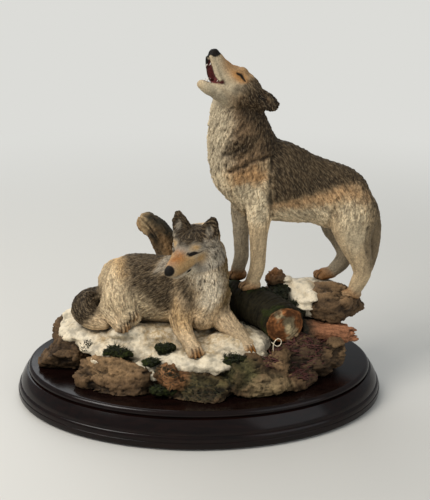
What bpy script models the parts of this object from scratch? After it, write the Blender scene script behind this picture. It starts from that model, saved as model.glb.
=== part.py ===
"""Two timber wolves on a snowy outcrop: a cold-cast resin group on a turned oval wooden plinth.

The casting is one solid. Its forms are lofts through stations (x, y, z, half width across
the body, half depth) and boulders, fused on a fine grid, then cut flat for its seat and
drilled for the two screws that come up through the plinth. The frame is metres, +Z up,
with the origin at the middle of the plinth's underside and +X along its long axis.
"""
import math

import bmesh
import bpy
import numpy as np
from mathutils import Matrix, Vector

# Plinth: an oval turned board with a moulded edge
PLINTH_LENGTH = 0.280
PLINTH_WIDTH = 0.188
PLINTH_TOP = 0.0254
BAND_HEIGHT = 0.0061
TOP_INSET = 0.0118
LIP_INSET = 0.0088
LIP_HEIGHT = 0.0034
COVE_DEPTH = 0.0010
OGEE_INSET = 0.0073
OGEE_HEIGHT = 0.0144
OVOLO_HEIGHT = 0.0044
OVOLO_INSET = 0.0024
EDGE_ROUND = 0.0005
PLINTH_SEGMENTS = 64

# Baize pad glued under the plinth
BAIZE_THICKNESS = 0.0010
BAIZE_MARGIN = 0.0040
TOUCH_GAP = 0.0003

# Wood screws from below into the casting
SCREW_OFFSET = 0.0450
SCREW_LENGTH = 0.0320
SCREW_SHANK = 0.0035
SCREW_HEAD = 0.0070
SCREW_HEAD_HEIGHT = 0.0024
SCREW_SLOT_WIDTH = 0.0010
SCREW_SLOT_DEPTH = 0.0008
COUNTERBORE_DEPTH = 0.0060
HOLE_SEGMENTS = 24

# Casting, from its seat to the howling wolf's nose
GROUP_HEIGHT = 0.2346
FUSE_GRID = 0.0011
FUSE_SMOOTHING = 4
CASTING_TRIANGLES = 8300

PLINTH_BOTTOM = BAIZE_THICKNESS + TOUCH_GAP
CASTING_SEAT = PLINTH_TOP + TOUCH_GAP

# Stations below are over the casting's seat, in units of UNIT, a millimetre at the height above
HOWLER_NOSE = (11.5, 11, 234.6)
LYING_NOSE = (-21.2, -38, 88.2)
UNIT = GROUP_HEIGHT / HOWLER_NOSE[2]
ACROSS = Vector((0, 1, 0))

# Facing of the two heads in degrees: turned from -Y towards -X, and lifted
HOWLER_FACING = (79, 45)
LYING_FACING = (27.7, -16)

# Boulders are balls cut by planes this far out, and up to the spread farther
STONE_FACETS = 10
STONE_CUT = 0.56
DRIFT_FACETS = 6
DRIFT_CUT = 0.82
CUT_SPREAD = 0.28

HOWLER_LOFTS = {
    "neck": ((29.5, 16, 204, 11, 13), (28.5, 16, 197, 13.5, 17.5), (28.5, 16.5, 186, 15, 20),
             (30, 17.5, 172, 16.5, 23.5), (33.5, 19, 157, 17.5, 27), (39, 20, 142, 17, 28.5),
             (45, 20, 126, 14, 22)),
    "torso": ((38, 20, 138, 13, 26), (49, 20, 137, 17, 31), (62, 20, 134, 17.5, 30.5),
              (76, 20, 130, 16.5, 27.5), (90, 20, 127, 15.5, 25), (106, 20, 121.5, 16, 24.5),
              (119, 20, 116, 13, 18.5), (127, 20, 113, 8, 9)),
    "near_fore": ((50, 12, 142, 7, 13), (48, 11, 126, 8, 13), (45.5, 10, 113, 7, 9.8),
                  (45, 9.5, 100, 5.8, 7.4), (44.8, 9, 87, 5, 6.4), (44.8, 8.6, 76, 4.9, 5.9),
                  (44, 8.4, 69, 5, 5.8), (41.5, 8, 62, 4.9, 5.4), (39.5, 8, 57.5, 5.2, 4.8)),
    "near_fore_paw": ((43, 8, 56.4, 4.8, 4.4), (38, 8, 55.8, 6.2, 4.6), (34, 8, 55, 5.6, 3.8)),
    "far_fore": ((45, 29, 138, 7, 13), (40, 29, 123, 7.5, 12.5), (33.8, 29, 112, 6.5, 9.8),
                 (32.4, 29, 101, 5.6, 7.1), (32.5, 28.5, 87, 5, 6), (33, 28.3, 75, 4.8, 5.8),
                 (32, 28, 68, 4.8, 5.6), (30, 28, 61, 4.8, 5.4), (29, 28, 58, 5, 4.8)),
    "far_fore_paw": ((33, 28, 57.2, 4.8, 4.4), (28.5, 28, 56.6, 6, 4.4), (25.5, 28, 56, 5.2, 3.6)),
    "near_hind": ((115, 14, 130, 9, 11), (115.5, 12, 119, 10, 17.5), (115.5, 10.5, 106, 9, 18),
                  (116.8, 9.5, 94, 7, 13.6), (120.2, 9, 82, 5.6, 9.8), (123.2, 9, 73, 5, 8),
                  (124, 9, 65, 4.8, 6.8), (121, 9, 57, 4.6, 6), (118.5, 9, 51.5, 4.8, 5)),
    "near_hind_paw": ((120, 9, 49, 4.8, 4.4), (113.5, 9, 48.2, 6, 4.6), (109, 9, 47.2, 5.2, 3.6)),
    "far_hind": ((112, 27, 125, 9, 11), (109, 29, 111, 9, 16), (106, 31, 98, 7.5, 13),
                 (110, 32, 85, 5.8, 8.4), (113.5, 32, 74, 5, 6.6), (111.5, 32, 66, 4.8, 6.4),
                 (106, 32, 60, 4.8, 5.4), (103.5, 32, 58, 4.8, 4.8)),
    "far_hind_paw": ((104, 32, 57, 4.8, 4.4), (98.5, 32, 56.2, 6, 4.6), (94, 32, 55.2, 5.2, 3.6)),
    "tail": ((122, 20, 118, 6, 7), (129.5, 20, 110, 6.4, 6.6), (131.6, 19.5, 97, 7, 6.6),
             (130.5, 19, 81, 7, 6.8), (128.5, 18.5, 68, 5.6, 5.8), (128.5, 18, 59, 2.5, 2.8)),
}
LYING_LOFTS = {
    "neck": ((0, -4, 93, 15, 16), (3, -3, 82, 18, 18), (4, -4, 68, 19, 18.5),
             (4, -6, 54, 19, 18), (3, -7, 42, 16, 15)),
    "torso": ((12, -5, 52, 12, 15), (6, -4, 54, 17, 21), (-6, -3, 56, 19, 25),
              (-20, -1, 56.5, 20, 26), (-33, 0, 57, 21, 26), (-43, 1, 57.5, 21.5, 26),
              (-52, 2, 58, 20.5, 25.2), (-60, 2, 58, 16, 22)),
    "haunch": ((-59, -4, 62, 13, 15), (-57, -11, 53, 15, 16), (-53, -17, 43, 11, 11)),
    "near_shoulder": ((-8, -6, 62, 9, 13), (-13, -11, 48, 9, 12), (-14.5, -16, 39, 7.5, 7.5),
                      (-11.5, -25, 33, 5.8, 6), (-8, -33, 29.5, 5.2, 5.4),
                      (-5, -39, 27.8, 5.4, 4.8)),
    "near_paw": ((-6, -37, 27.8, 5, 4.6), (-3.5, -42, 26.8, 6, 4.4), (-2, -45.5, 26, 5.2, 3.6)),
    "far_shoulder": ((13, -2, 54, 9, 13), (18, -3, 41, 8.4, 9.6), (24, -7, 34.5, 7, 7.4),
                     (30, -11, 31, 6, 6.2), (35, -14.5, 28.8, 5.6, 5.2)),
    "far_paw": ((35, -13.5, 28, 5, 4.6), (38.5, -16.5, 27, 6, 4.4), (41.5, -18.8, 26.2, 5.2, 3.6)),
    "near_hock": ((-64, -15, 37, 6, 6), (-60, -19, 36, 5.6, 5.4), (-56.5, -22.5, 34.5, 6, 4.8),
                  (-54.5, -25.5, 33, 5.4, 4)),
    "far_foot": ((-54, -15, 41, 5, 5), (-48.5, -19, 40, 5.6, 5.2), (-45.5, -22, 38.5, 5.4, 4.4)),
    "tail": ((-64, 8, 52, 7, 8), (-74, 6, 49.5, 9, 10.5), (-80.5, 0, 48, 10, 11.5),
             (-81, -7, 45, 10, 9.5), (-75, -12, 42, 8, 7), (-68, -15, 39, 5.5, 5)),
}

# Head stations: behind the nose, over the nose line, half width, half depth
HOWLER_SKULL = ((-47, -6, 12, 9.5), (-41, -5.5, 14, 11), (-34, -5.4, 14.5, 11.6), (-27, -5.6, 12, 11.2),
                (-20, -7.2, 8.6, 9.2), (-14, -7.6, 6.8, 7.8), (-8, -7.2, 6, 7),
                (-3, -5.8, 5, 5.5), (-1, -4.8, 3.8, 4.2))
HOWLER_JAW = ((-31, -13, 10, 9), (-25, -17.6, 8, 7), (-19.5, -20.6, 6.2, 4.8),
              (-14.5, -22.6, 4.8, 3.5), (-10.5, -24.2, 3.9, 2.5))
LYING_SKULL = ((-52, -3.5, 12, 10), (-45, -1.2, 15.4, 11.2), (-38, -0.8, 16.4, 11.4),
               (-31, -1.6, 14.6, 10.8), (-25.5, -2.8, 11, 9.4), (-20.5, -4.4, 8.4, 8.2),
               (-14, -5.2, 6.8, 6.9), (-8, -5.2, 5.8, 6.2), (-3.5, -4.8, 4.9, 5.2), (-1.5, -4.2, 3.8, 4.2))
LYING_JAW = ((-30, -12, 10, 5), (-20, -12.6, 7, 3.8), (-12, -12.2, 5, 3), (-7, -11.2, 3.8, 2.4))

# Ear stations: behind, left, over, half width, half depth
HOWLER_EARS = ((-42, 8.5, 0, 4, 5.5), (-47, 10.5, 0, 3.4, 6.2), (-52, 12, 0.2, 2.5, 6),
               (-56.5, 12.8, 0.4, 1.9, 4.8), (-59, 13.2, 0.4, 1.4, 3))
LYING_EARS = ((-40, 9.6, 4, 7.8, 5), (-41.2, 11.2, 8.6, 7.6, 3.8), (-42.4, 12.8, 12.8, 6.4, 2.7),
              (-43.4, 14, 16.6, 4.6, 2), (-44, 14.7, 19.4, 2.6, 1.5))

# Cheek ruff and brow on each side: behind, left, over, then the radii along the same axes
HOWLER_FACE = ((-37, 10, -8, 9, 6.5, 9), (-24.5, 6, 3, 4.4, 3.6, 3.2))
LYING_FACE = ((-38, 14, -7.5, 8, 7, 9), (-28, 6.8, 4, 4.2, 4, 3.2))

# The hollow roof of the open mouth, in the same way
MOUTH_HOLLOW = (-11, 0, -14.5, 9, 3.4, 3.6)

# How far a log's cut end swells, as a share of its radius
SAWN_END = 0.12

# Rocks: centre, radii, turn about +Z in degrees
ROCKS = (
    (-30, 2, 4, 76, 44, 23, 0), (40, 12, 8, 62, 42, 32, 5), (0, 36, 14, 66, 24, 30, 0),
    (-96, -8, 6, 27, 24, 19, 20), (-88, 16, 9, 28, 25, 23, -15), (-56, -46, 8, 36, 19, 16, -8),
    (-78, -40, 3, 17, 13, 11, 10), (-18, -55, 10, 14, 12, 11, 0), (4, -57, 4, 30, 16, 15, -4),
    (32, -50, 9, 22, 18, 17, 8), (46, -54, 3, 22, 16, 13, 0), (58, -41, 13, 15, 13, 14, 30),
    (80, -26, 12, 22, 20, 17, 20), (99, -26, 15, 12, 12, 14, 0), (68, -43, 3, 19, 14, 12, 8),
    (102, 12, 40, 30, 22, 16, -12), (94, 14, 20, 24, 24, 24, 0), (60, 20, 56, 10, 9, 9, 20),
    (96, 30, 38, 22, 15, 17, 10), (30, 28, 38, 20, 15, 16, 0), (72, 24, 36, 22, 16, 20, 0),
)
# Mossy bank that the howling wolf's forefeet stand on
BANK = ((44, 12, 42, 20, 12, 10, 0), (62, 10, 46, 13, 10, 10, 20), (70, 0, 38, 12, 8, 10, 0))
# Drifts under the snow's skin
DRIFTS = (
    (-44, -13, 19, 50, 26, 9, -4), (4, -32, 17, 44, 24, 8, 6), (-74, 0, 22, 32, 24, 9, 0),
    (30, -18, 22, 26, 18, 8, 0),
)
UPPER_DRIFTS = ((78, 17, 44, 17, 14, 14, -20), (86, 4, 38, 12, 9, 6, -10), (96, 30, 55, 14, 8, 4, 0))
LOG = ((66, -23, 33.5, 14, 13.2), (64.5, -15, 33.4, 14.2, 13.2), (56, -4, 37, 14, 13),
       (42, 7, 41, 13.5, 13), (26, 16, 43, 12.5, 12.5), (12, 22, 43, 11, 11))
BRANCH = ((84, -7, 23, 9, 8), (96, -7, 21.5, 8, 7.5), (108, -6, 20.5, 7, 6.5), (117, -5, 20, 5, 5))
STUMP = ((-10, 28, 30, 17, 15), (-13, 30, 48, 14, 13), (-16, 31, 66, 11, 11),
         (-20, 32, 82, 9, 10), (-30, 32, 94, 7.5, 9), (-39.5, 32, 98.6, 6.6, 7.6))



def material(name, colour, roughness, metallic=0.0):
    made = bpy.data.materials.new(name)
    made.use_nodes = True
    shader = made.node_tree.nodes["Principled BSDF"]
    shader.inputs["Base Color"].default_value = (*colour, 1)
    shader.inputs["Roughness"].default_value = roughness
    shader.inputs["Metallic"].default_value = metallic
    return made


def link(name, mesh, collection, finish=None):
    made = bpy.data.objects.new(name, mesh)
    collection.objects.link(made)
    if finish:
        mesh.materials.clear()
        mesh.materials.append(finish)
    return made


def mesh_of(bm, name):
    bmesh.ops.recalc_face_normals(bm, faces=bm.faces)
    mesh = bpy.data.meshes.new(name)
    bm.to_mesh(mesh)
    bm.free()
    return mesh


def smooth_path(stations, steps=4):
    """Catmull-Rom curve through rows of numbers, with its end rows kept."""
    rows = np.array(stations, float)
    padded = np.vstack([2 * rows[0] - rows[1], rows, 2 * rows[-1] - rows[-2]])
    curve = []
    for i in range(len(rows) - 1):
        a, b, c, d = padded[i:i + 4]
        for t in np.arange(steps) / steps:
            curve.append(0.5 * (2 * b + (c - a) * t + (2 * a - 5 * b + 4 * c - d) * t * t
                                + (3 * b - a - 3 * c + d) * t ** 3))
    curve.append(rows[-1])
    return np.array(curve)


def domed(rows, fullness=1.0, steps=4):
    """The rows with a rounded end added at each end, as shrinking sections. Fullness 0 is a flat end."""
    def dome(end, inner):
        out = Vector(end[:3] - inner[:3]).normalized()
        reach = min(end[3:5]) * fullness
        added = []
        for i in range(1, steps):
            angle = math.pi / 2 * i / steps
            centre = end[:3] + np.array(out) * reach * math.sin(angle)
            added.append(np.concatenate([centre, end[3:5] * math.cos(angle)]))
        return added, end[:3] + np.array(out) * reach
    first, first_tip = dome(rows[0], rows[1])
    last, last_tip = dome(rows[-1], rows[-2])
    return np.array(first[::-1] + list(rows) + last), first_tip, last_tip


def add_loft(bm, stations, across=ACROSS, sides=18, fullness=1.0):
    """A closed tube of elliptical sections through the stations, with domed ends."""
    rows, first_tip, last_tip = domed(smooth_path(stations), fullness)
    rings = []
    for i, row in enumerate(rows):
        before, after = rows[max(i - 1, 0)], rows[min(i + 1, len(rows) - 1)]
        along = Vector(after[:3] - before[:3]).normalized()
        side = (across - along * across.dot(along)).normalized()
        deep = along.cross(side)
        ring = []
        for k in range(sides):
            angle = 2 * math.pi * k / sides
            spot = Vector(row[:3]) + side * row[3] * math.cos(angle) + deep * row[4] * math.sin(angle)
            ring.append(bm.verts.new(spot * UNIT))
        rings.append(ring)
    for ring, other in zip(rings, rings[1:]):
        for k in range(sides):
            bm.faces.new((ring[k], ring[(k + 1) % sides], other[(k + 1) % sides], other[k]))
    for ring, tip in ((rings[0], first_tip), (rings[-1], last_tip)):
        top = bm.verts.new(Vector(tip) * UNIT)
        for k in range(sides):
            bm.faces.new((ring[k], ring[(k + 1) % sides], top))


def level_across(stations):
    """The level direction square to the path of a limb that lies on the ground."""
    run = Vector(stations[-1][:3]) - Vector(stations[0][:3])
    return Vector((0, 0, 1)).cross(run).normalized()


class HeadFrame:
    """Places head stations: behind the nose, to the wolf's left and over the nose line."""

    def __init__(self, nose, heading, pitch):
        """heading turns the face from -Y towards -X, and pitch lifts the nose, in degrees."""
        turn, lift = math.radians(heading), math.radians(pitch)
        self.nose = Vector(nose)
        self.ahead = Vector((-math.sin(turn) * math.cos(lift), -math.cos(turn) * math.cos(lift),
                             math.sin(lift)))
        self.left = Vector((math.cos(turn), -math.sin(turn), 0))
        self.up = self.ahead.cross(self.left)

    def at(self, behind, left, up):
        return self.nose + self.ahead * behind + self.left * left + self.up * up

    def centre_rows(self, stations):
        return [(*self.at(back, 0, up), wide, deep) for back, up, wide, deep in stations]

    def side_rows(self, stations, sign):
        return [(*self.at(back, sign * left, up), wide, deep)
                for back, left, up, wide, deep in stations]


HOWLER_HEAD = HeadFrame(HOWLER_NOSE, *HOWLER_FACING)
LYING_HEAD = HeadFrame(LYING_NOSE, *LYING_FACING)


def add_ball(bm, head, row, detail=2):
    """An ellipsoid placed in a head's own axes."""
    back, left, up, *radii = row
    ball = bmesh.ops.create_icosphere(bm, subdivisions=detail, radius=UNIT)["verts"]
    axes = Matrix((head.ahead, head.left, head.up)).transposed().to_4x4()
    place = Matrix.Translation(head.at(back, left, up) * UNIT) @ axes @ Matrix.Diagonal((*radii, 1))
    bmesh.ops.transform(bm, matrix=place, verts=ball)


def add_head(bm, head, skull, jaw, ears, face):
    """A head from its skull and jaw lofts, with an ear, a cheek and a brow on each side."""
    add_loft(bm, head.centre_rows(skull), head.left)
    add_loft(bm, head.centre_rows(jaw), head.left, sides=14)
    for sign in (1, -1):
        add_loft(bm, head.side_rows(ears, sign), head.left, sides=12)
        for back, left, *rest in face:
            add_ball(bm, head, (back, sign * left, *rest))


def add_boulder(bm, rock, seed, facets=STONE_FACETS, rise=STONE_CUT):
    """A stone: a ball flattened by random planes, then stretched and turned."""
    x, y, z, rx, ry, rz, turn = rock
    chance = np.random.default_rng(seed)
    ball = bmesh.ops.create_icosphere(bm, subdivisions=4, radius=1)["verts"]
    for _ in range(facets):
        normal = Vector(chance.normal(size=3)).normalized()
        depth = rise + CUT_SPREAD * chance.random()
        for vert in ball:
            over = vert.co.dot(normal) - depth
            if over > 0:
                vert.co -= normal * over
    place = (Matrix.Translation(Vector((x, y, z)) * UNIT) @ Matrix.Rotation(math.radians(turn), 4, "Z")
             @ Matrix.Diagonal((rx * UNIT, ry * UNIT, rz * UNIT, 1)))
    bmesh.ops.transform(bm, matrix=place, verts=ball)


def casting_forms():
    bm = bmesh.new()
    for name, stations in HOWLER_LOFTS.items():
        add_loft(bm, stations)
    for name, stations in LYING_LOFTS.items():
        upright = name in ("torso", "neck")
        add_loft(bm, stations, ACROSS if upright else level_across(stations))
    add_head(bm, HOWLER_HEAD, HOWLER_SKULL, HOWLER_JAW, HOWLER_EARS, HOWLER_FACE)
    add_head(bm, LYING_HEAD, LYING_SKULL, LYING_JAW, LYING_EARS, LYING_FACE)
    for i, rock in enumerate(ROCKS):
        add_boulder(bm, rock, seed=10 + i)
    for i, rock in enumerate(BANK):
        add_boulder(bm, rock, seed=40 + i)
    for drifts in (DRIFTS, UPPER_DRIFTS):
        for i, drift in enumerate(drifts):
            add_boulder(bm, drift, seed=60 + i, facets=DRIFT_FACETS, rise=DRIFT_CUT)
    for stations in (LOG, BRANCH):
        add_loft(bm, stations, level_across(stations), fullness=SAWN_END)
    add_loft(bm, STUMP)
    return mesh_of(bm, "casting_forms")


def largest_shell(mesh):
    """Drops what isn't joined to the largest shell, such as a void closed in by the rocks."""
    bm = bmesh.new()
    bm.from_mesh(mesh)
    left = set(bm.verts)
    shells = []
    while left:
        stack = [left.pop()]
        shell = list(stack)
        while stack:
            for edge in stack.pop().link_edges:
                for vert in edge.verts:
                    if vert in left:
                        left.remove(vert)
                        stack.append(vert)
                        shell.append(vert)
        shells.append(shell)
    shells.sort(key=len)
    for shell in shells[:-1]:
        bmesh.ops.delete(bm, geom=shell, context="VERTS")
    bmesh.ops.triangulate(bm, faces=bm.faces)
    bm.to_mesh(mesh)
    bm.free()


def fused(forms, collection):
    """One skin over all the forms, smoothed where they meet."""
    rough = link("rough_casting", forms, collection)
    fuse = rough.modifiers.new("fuse", "REMESH")
    fuse.mode = "VOXEL"
    fuse.voxel_size = FUSE_GRID
    ease = rough.modifiers.new("ease", "SMOOTH")
    ease.factor = 0.5
    ease.iterations = FUSE_SMOOTHING
    graph = bpy.context.evaluated_depsgraph_get()
    skin = bpy.data.meshes.new_from_object(rough.evaluated_get(graph))
    bpy.data.objects.remove(rough)
    largest_shell(skin)
    return skin


def cylinder(name, collection, radius, bottom, top, x, segments=HOLE_SEGMENTS):
    bm = bmesh.new()
    bmesh.ops.create_cone(bm, cap_ends=True, segments=segments, radius1=radius, radius2=radius,
                          depth=top - bottom)
    bmesh.ops.translate(bm, vec=(x, 0, (top + bottom) / 2), verts=bm.verts)
    return link(name, mesh_of(bm, name), collection)


def hide(cutter):
    cutter.hide_render = True
    cutter.display_type = "WIRE"
    return cutter


def cut(obj, cutter):
    step = obj.modifiers.new(cutter.name, "BOOLEAN")
    step.operation = "DIFFERENCE"
    step.object = hide(cutter)


def build_casting(parts, cutters):
    skin = fused(casting_forms(), parts)
    skin.transform(Matrix.Translation((0, 0, CASTING_SEAT)))
    casting = link("resin_group", skin, parts, material("painted_resin", (0.36, 0.28, 0.20), 0.6))
    thin = casting.modifiers.new("thin", "DECIMATE")
    thin.ratio = CASTING_TRIANGLES / len(skin.polygons)
    bm = bmesh.new()
    bmesh.ops.create_cube(bm, size=1)
    below = PLINTH_TOP * 2
    bmesh.ops.scale(bm, vec=(PLINTH_LENGTH * 2, PLINTH_WIDTH * 2, below), verts=bm.verts)
    bmesh.ops.translate(bm, vec=(0, 0, CASTING_SEAT - below / 2), verts=bm.verts)
    cut(casting, link("seat_cut", mesh_of(bm, "seat_cut"), cutters))
    bm = bmesh.new()
    add_ball(bm, HOWLER_HEAD, MOUTH_HOLLOW)
    bmesh.ops.translate(bm, vec=(0, 0, CASTING_SEAT), verts=bm.verts)
    cut(casting, link("mouth_hollow", mesh_of(bm, "mouth_hollow"), cutters))
    for side in (-1, 1):
        bore = SCREW_SHANK / 2 + TOUCH_GAP
        top = PLINTH_BOTTOM + COUNTERBORE_DEPTH + SCREW_LENGTH + TOUCH_GAP
        cut(casting, cylinder(f"pilot_hole_{side}", cutters, bore, PLINTH_BOTTOM, top,
                              side * SCREW_OFFSET))
    return casting


def plinth_profile():
    """(inset, height) from the underside out and up the moulding to the top."""
    ogee_low = BAND_HEIGHT + OVOLO_HEIGHT
    profile = [(EDGE_ROUND, PLINTH_BOTTOM), (0, PLINTH_BOTTOM + EDGE_ROUND), (0, BAND_HEIGHT - EDGE_ROUND),
               (EDGE_ROUND, BAND_HEIGHT)]
    for i in range(5):
        angle = math.pi / 2 * i / 4
        profile.append((EDGE_ROUND + (OVOLO_INSET - EDGE_ROUND) * (1 - math.cos(angle)),
                        BAND_HEIGHT + OVOLO_HEIGHT * math.sin(angle)))
    ogee_top = BAND_HEIGHT + OGEE_HEIGHT
    for i in range(1, 6):
        t = i / 5
        rise = ogee_low + (ogee_top - ogee_low) * t
        profile.append((OVOLO_INSET + (OGEE_INSET - OVOLO_INSET) * t ** 1.5, rise))
    lip_low = PLINTH_TOP - LIP_HEIGHT
    profile.append((LIP_INSET + COVE_DEPTH, ogee_top + EDGE_ROUND / 2))
    profile.append((LIP_INSET + COVE_DEPTH, lip_low))
    for i in range(5):
        angle = math.pi / 2 * i / 4
        profile.append((LIP_INSET + (TOP_INSET - LIP_INSET) * (1 - math.cos(angle)),
                        lip_low + LIP_HEIGHT * math.sin(angle)))
    return profile


def oval_ring(bm, inset, height):
    ring = []
    for k in range(PLINTH_SEGMENTS):
        angle = 2 * math.pi * k / PLINTH_SEGMENTS
        x = PLINTH_LENGTH / 2 * math.cos(angle)
        y = PLINTH_WIDTH / 2 * math.sin(angle)
        outward = Vector((x / PLINTH_LENGTH ** 2, y / PLINTH_WIDTH ** 2, 0)).normalized()
        ring.append(bm.verts.new(Vector((x, y, height)) - outward * inset))
    return ring


def oval_solid(name, profile):
    """A closed oval solid swept round the given (inset, height) profile."""
    bm = bmesh.new()
    rings = [oval_ring(bm, inset, height) for inset, height in profile]
    for ring, other in zip(rings, rings[1:]):
        for k in range(PLINTH_SEGMENTS):
            after = (k + 1) % PLINTH_SEGMENTS
            bm.faces.new((ring[k], ring[after], other[after], other[k]))
    bm.faces.new(rings[0])
    bm.faces.new(rings[-1])
    return mesh_of(bm, name)


def build_plinth(parts, cutters):
    plinth = link("wood_plinth", oval_solid("wood_plinth", plinth_profile()), parts,
                  material("mahogany", (0.07, 0.025, 0.015), 0.25))
    for side in (-1, 1):
        x = side * SCREW_OFFSET
        cut(plinth, cylinder(f"screw_hole_{side}", cutters, SCREW_SHANK / 2 + TOUCH_GAP, 0,
                             PLINTH_TOP * 2, x))
        cut(plinth, cylinder(f"counterbore_{side}", cutters, SCREW_HEAD / 2 + TOUCH_GAP, 0,
                             PLINTH_BOTTOM + COUNTERBORE_DEPTH, x))
    plinth.data.shade_smooth()
    plinth.data.set_sharp_from_angle(angle=math.radians(35))
    return plinth


def build_baize(parts):
    outline = [(BAIZE_MARGIN, 0), (BAIZE_MARGIN, BAIZE_THICKNESS)]
    return link("plinth_baize", oval_solid("plinth_baize", outline), parts,
                material("baize", (0.02, 0.05, 0.03), 0.95))


def build_screw(name, x, parts, cutters, steel):
    """A slotted pan-head wood screw, head down, turned about its own axis."""
    head_face = PLINTH_BOTTOM + COUNTERBORE_DEPTH - TOUCH_GAP
    low = head_face - SCREW_HEAD_HEIGHT
    top = head_face + SCREW_LENGTH
    shank, head = SCREW_SHANK / 2, SCREW_HEAD / 2
    profile = ((0, top), (shank * 0.25, top - shank), (shank, top - shank * 4), (shank, head_face),
               (head, head_face), (head, low + SCREW_HEAD_HEIGHT * 0.3), (head * 0.75, low), (0, low))
    bm = bmesh.new()
    verts = [bm.verts.new((radius, 0, height)) for radius, height in profile]
    for a, b in zip(verts, verts[1:]):
        bm.edges.new((a, b))
    mesh = bpy.data.meshes.new(name)
    bm.to_mesh(mesh)
    bm.free()
    screw = link(name, mesh, parts, steel)
    turn = screw.modifiers.new("turn", "SCREW")
    turn.steps = turn.render_steps = 16
    turn.use_merge_vertices = True
    turn.merge_threshold = 0.00001
    turn.use_smooth_shade = True
    screw.location = (x, 0, 0)
    bm = bmesh.new()
    bmesh.ops.create_cube(bm, size=1)
    bmesh.ops.scale(bm, vec=(SCREW_HEAD * 1.5, SCREW_SLOT_WIDTH, SCREW_SLOT_DEPTH * 2), verts=bm.verts)
    bmesh.ops.translate(bm, vec=(x, 0, low), verts=bm.verts)
    cut(screw, link(f"{name}_slot", mesh_of(bm, f"{name}_slot"), cutters))
    return screw


def main():
    for obj in list(bpy.data.objects):
        bpy.data.objects.remove(obj)
    parts = bpy.data.collections.new("wolf_figurine")
    cutters = bpy.data.collections.new("cutters")
    for collection in (parts, cutters):
        bpy.context.scene.collection.children.link(collection)
    build_plinth(parts, cutters)
    build_baize(parts)
    build_casting(parts, cutters)
    steel = material("screw_steel", (0.5, 0.48, 0.44), 0.35, 1.0)
    build_screw("fixing_screw_left", -SCREW_OFFSET, parts, cutters, steel)
    build_screw("fixing_screw_right", SCREW_OFFSET, parts, cutters, steel)


main()
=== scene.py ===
"""Painted wolf group on its oval plinth, as an add-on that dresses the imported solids.

Two wolves, rocks, snow, a fallen log, a splintered branch, a broken stump, moss and leaf
litter stand for the single casting. Each is sculpted in code from stations in millimetres
over the casting's seat, then washed and dry-brushed by its own node material.
"""

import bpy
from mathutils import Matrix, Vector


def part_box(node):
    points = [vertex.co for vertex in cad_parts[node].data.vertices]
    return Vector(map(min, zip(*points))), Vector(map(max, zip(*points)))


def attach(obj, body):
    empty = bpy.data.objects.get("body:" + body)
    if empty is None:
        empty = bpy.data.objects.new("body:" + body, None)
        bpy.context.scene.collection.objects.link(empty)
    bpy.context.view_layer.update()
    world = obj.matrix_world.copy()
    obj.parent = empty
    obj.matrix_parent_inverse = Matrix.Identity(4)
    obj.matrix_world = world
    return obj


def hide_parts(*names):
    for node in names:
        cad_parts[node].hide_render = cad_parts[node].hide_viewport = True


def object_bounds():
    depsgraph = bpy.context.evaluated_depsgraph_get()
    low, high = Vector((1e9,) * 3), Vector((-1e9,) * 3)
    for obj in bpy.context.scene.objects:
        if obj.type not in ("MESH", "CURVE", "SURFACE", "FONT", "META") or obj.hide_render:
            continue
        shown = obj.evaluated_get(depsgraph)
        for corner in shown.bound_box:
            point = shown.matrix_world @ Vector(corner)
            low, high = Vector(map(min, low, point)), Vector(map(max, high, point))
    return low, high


bl_info = {
    "name": "Wolf Group Figurine",
    "version": (1, 0, 0),
    "blender": (4, 5, 0),
    "location": "View3D > Sidebar > Figurine",
    "description": "Sculpts and paints a wolf group on a moulded oval plinth",
    "category": "Object",
}

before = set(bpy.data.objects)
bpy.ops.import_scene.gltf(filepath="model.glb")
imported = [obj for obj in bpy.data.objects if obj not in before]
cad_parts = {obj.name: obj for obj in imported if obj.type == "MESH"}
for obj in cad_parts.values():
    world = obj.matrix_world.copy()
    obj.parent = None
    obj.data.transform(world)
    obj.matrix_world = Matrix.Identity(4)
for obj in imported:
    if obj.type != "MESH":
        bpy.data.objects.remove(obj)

import itertools
import math

import bmesh
import bpy
import numpy as np
from bpy.props import FloatProperty, FloatVectorProperty, PointerProperty
from mathutils import Matrix, Vector
from mathutils.bvhtree import BVHTree

CAD_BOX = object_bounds()
MM = 0.001
CASTING = "resin_group"
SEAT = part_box(CASTING)[0].z
ACROSS = Vector((0, 1, 0))
FAR = 1e9  # farther off than any point, in millimetres

# Grids that the skins are fused on, in millimetres
HOWLER_GRID, LYING_GRID, STONE_GRID, BANK_GRID = 0.85, 0.8, 1.08, 0.75
SNOW_GRID, TIMBER_GRID, CUSHION_GRID = 0.85, 0.7, 0.6

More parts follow.
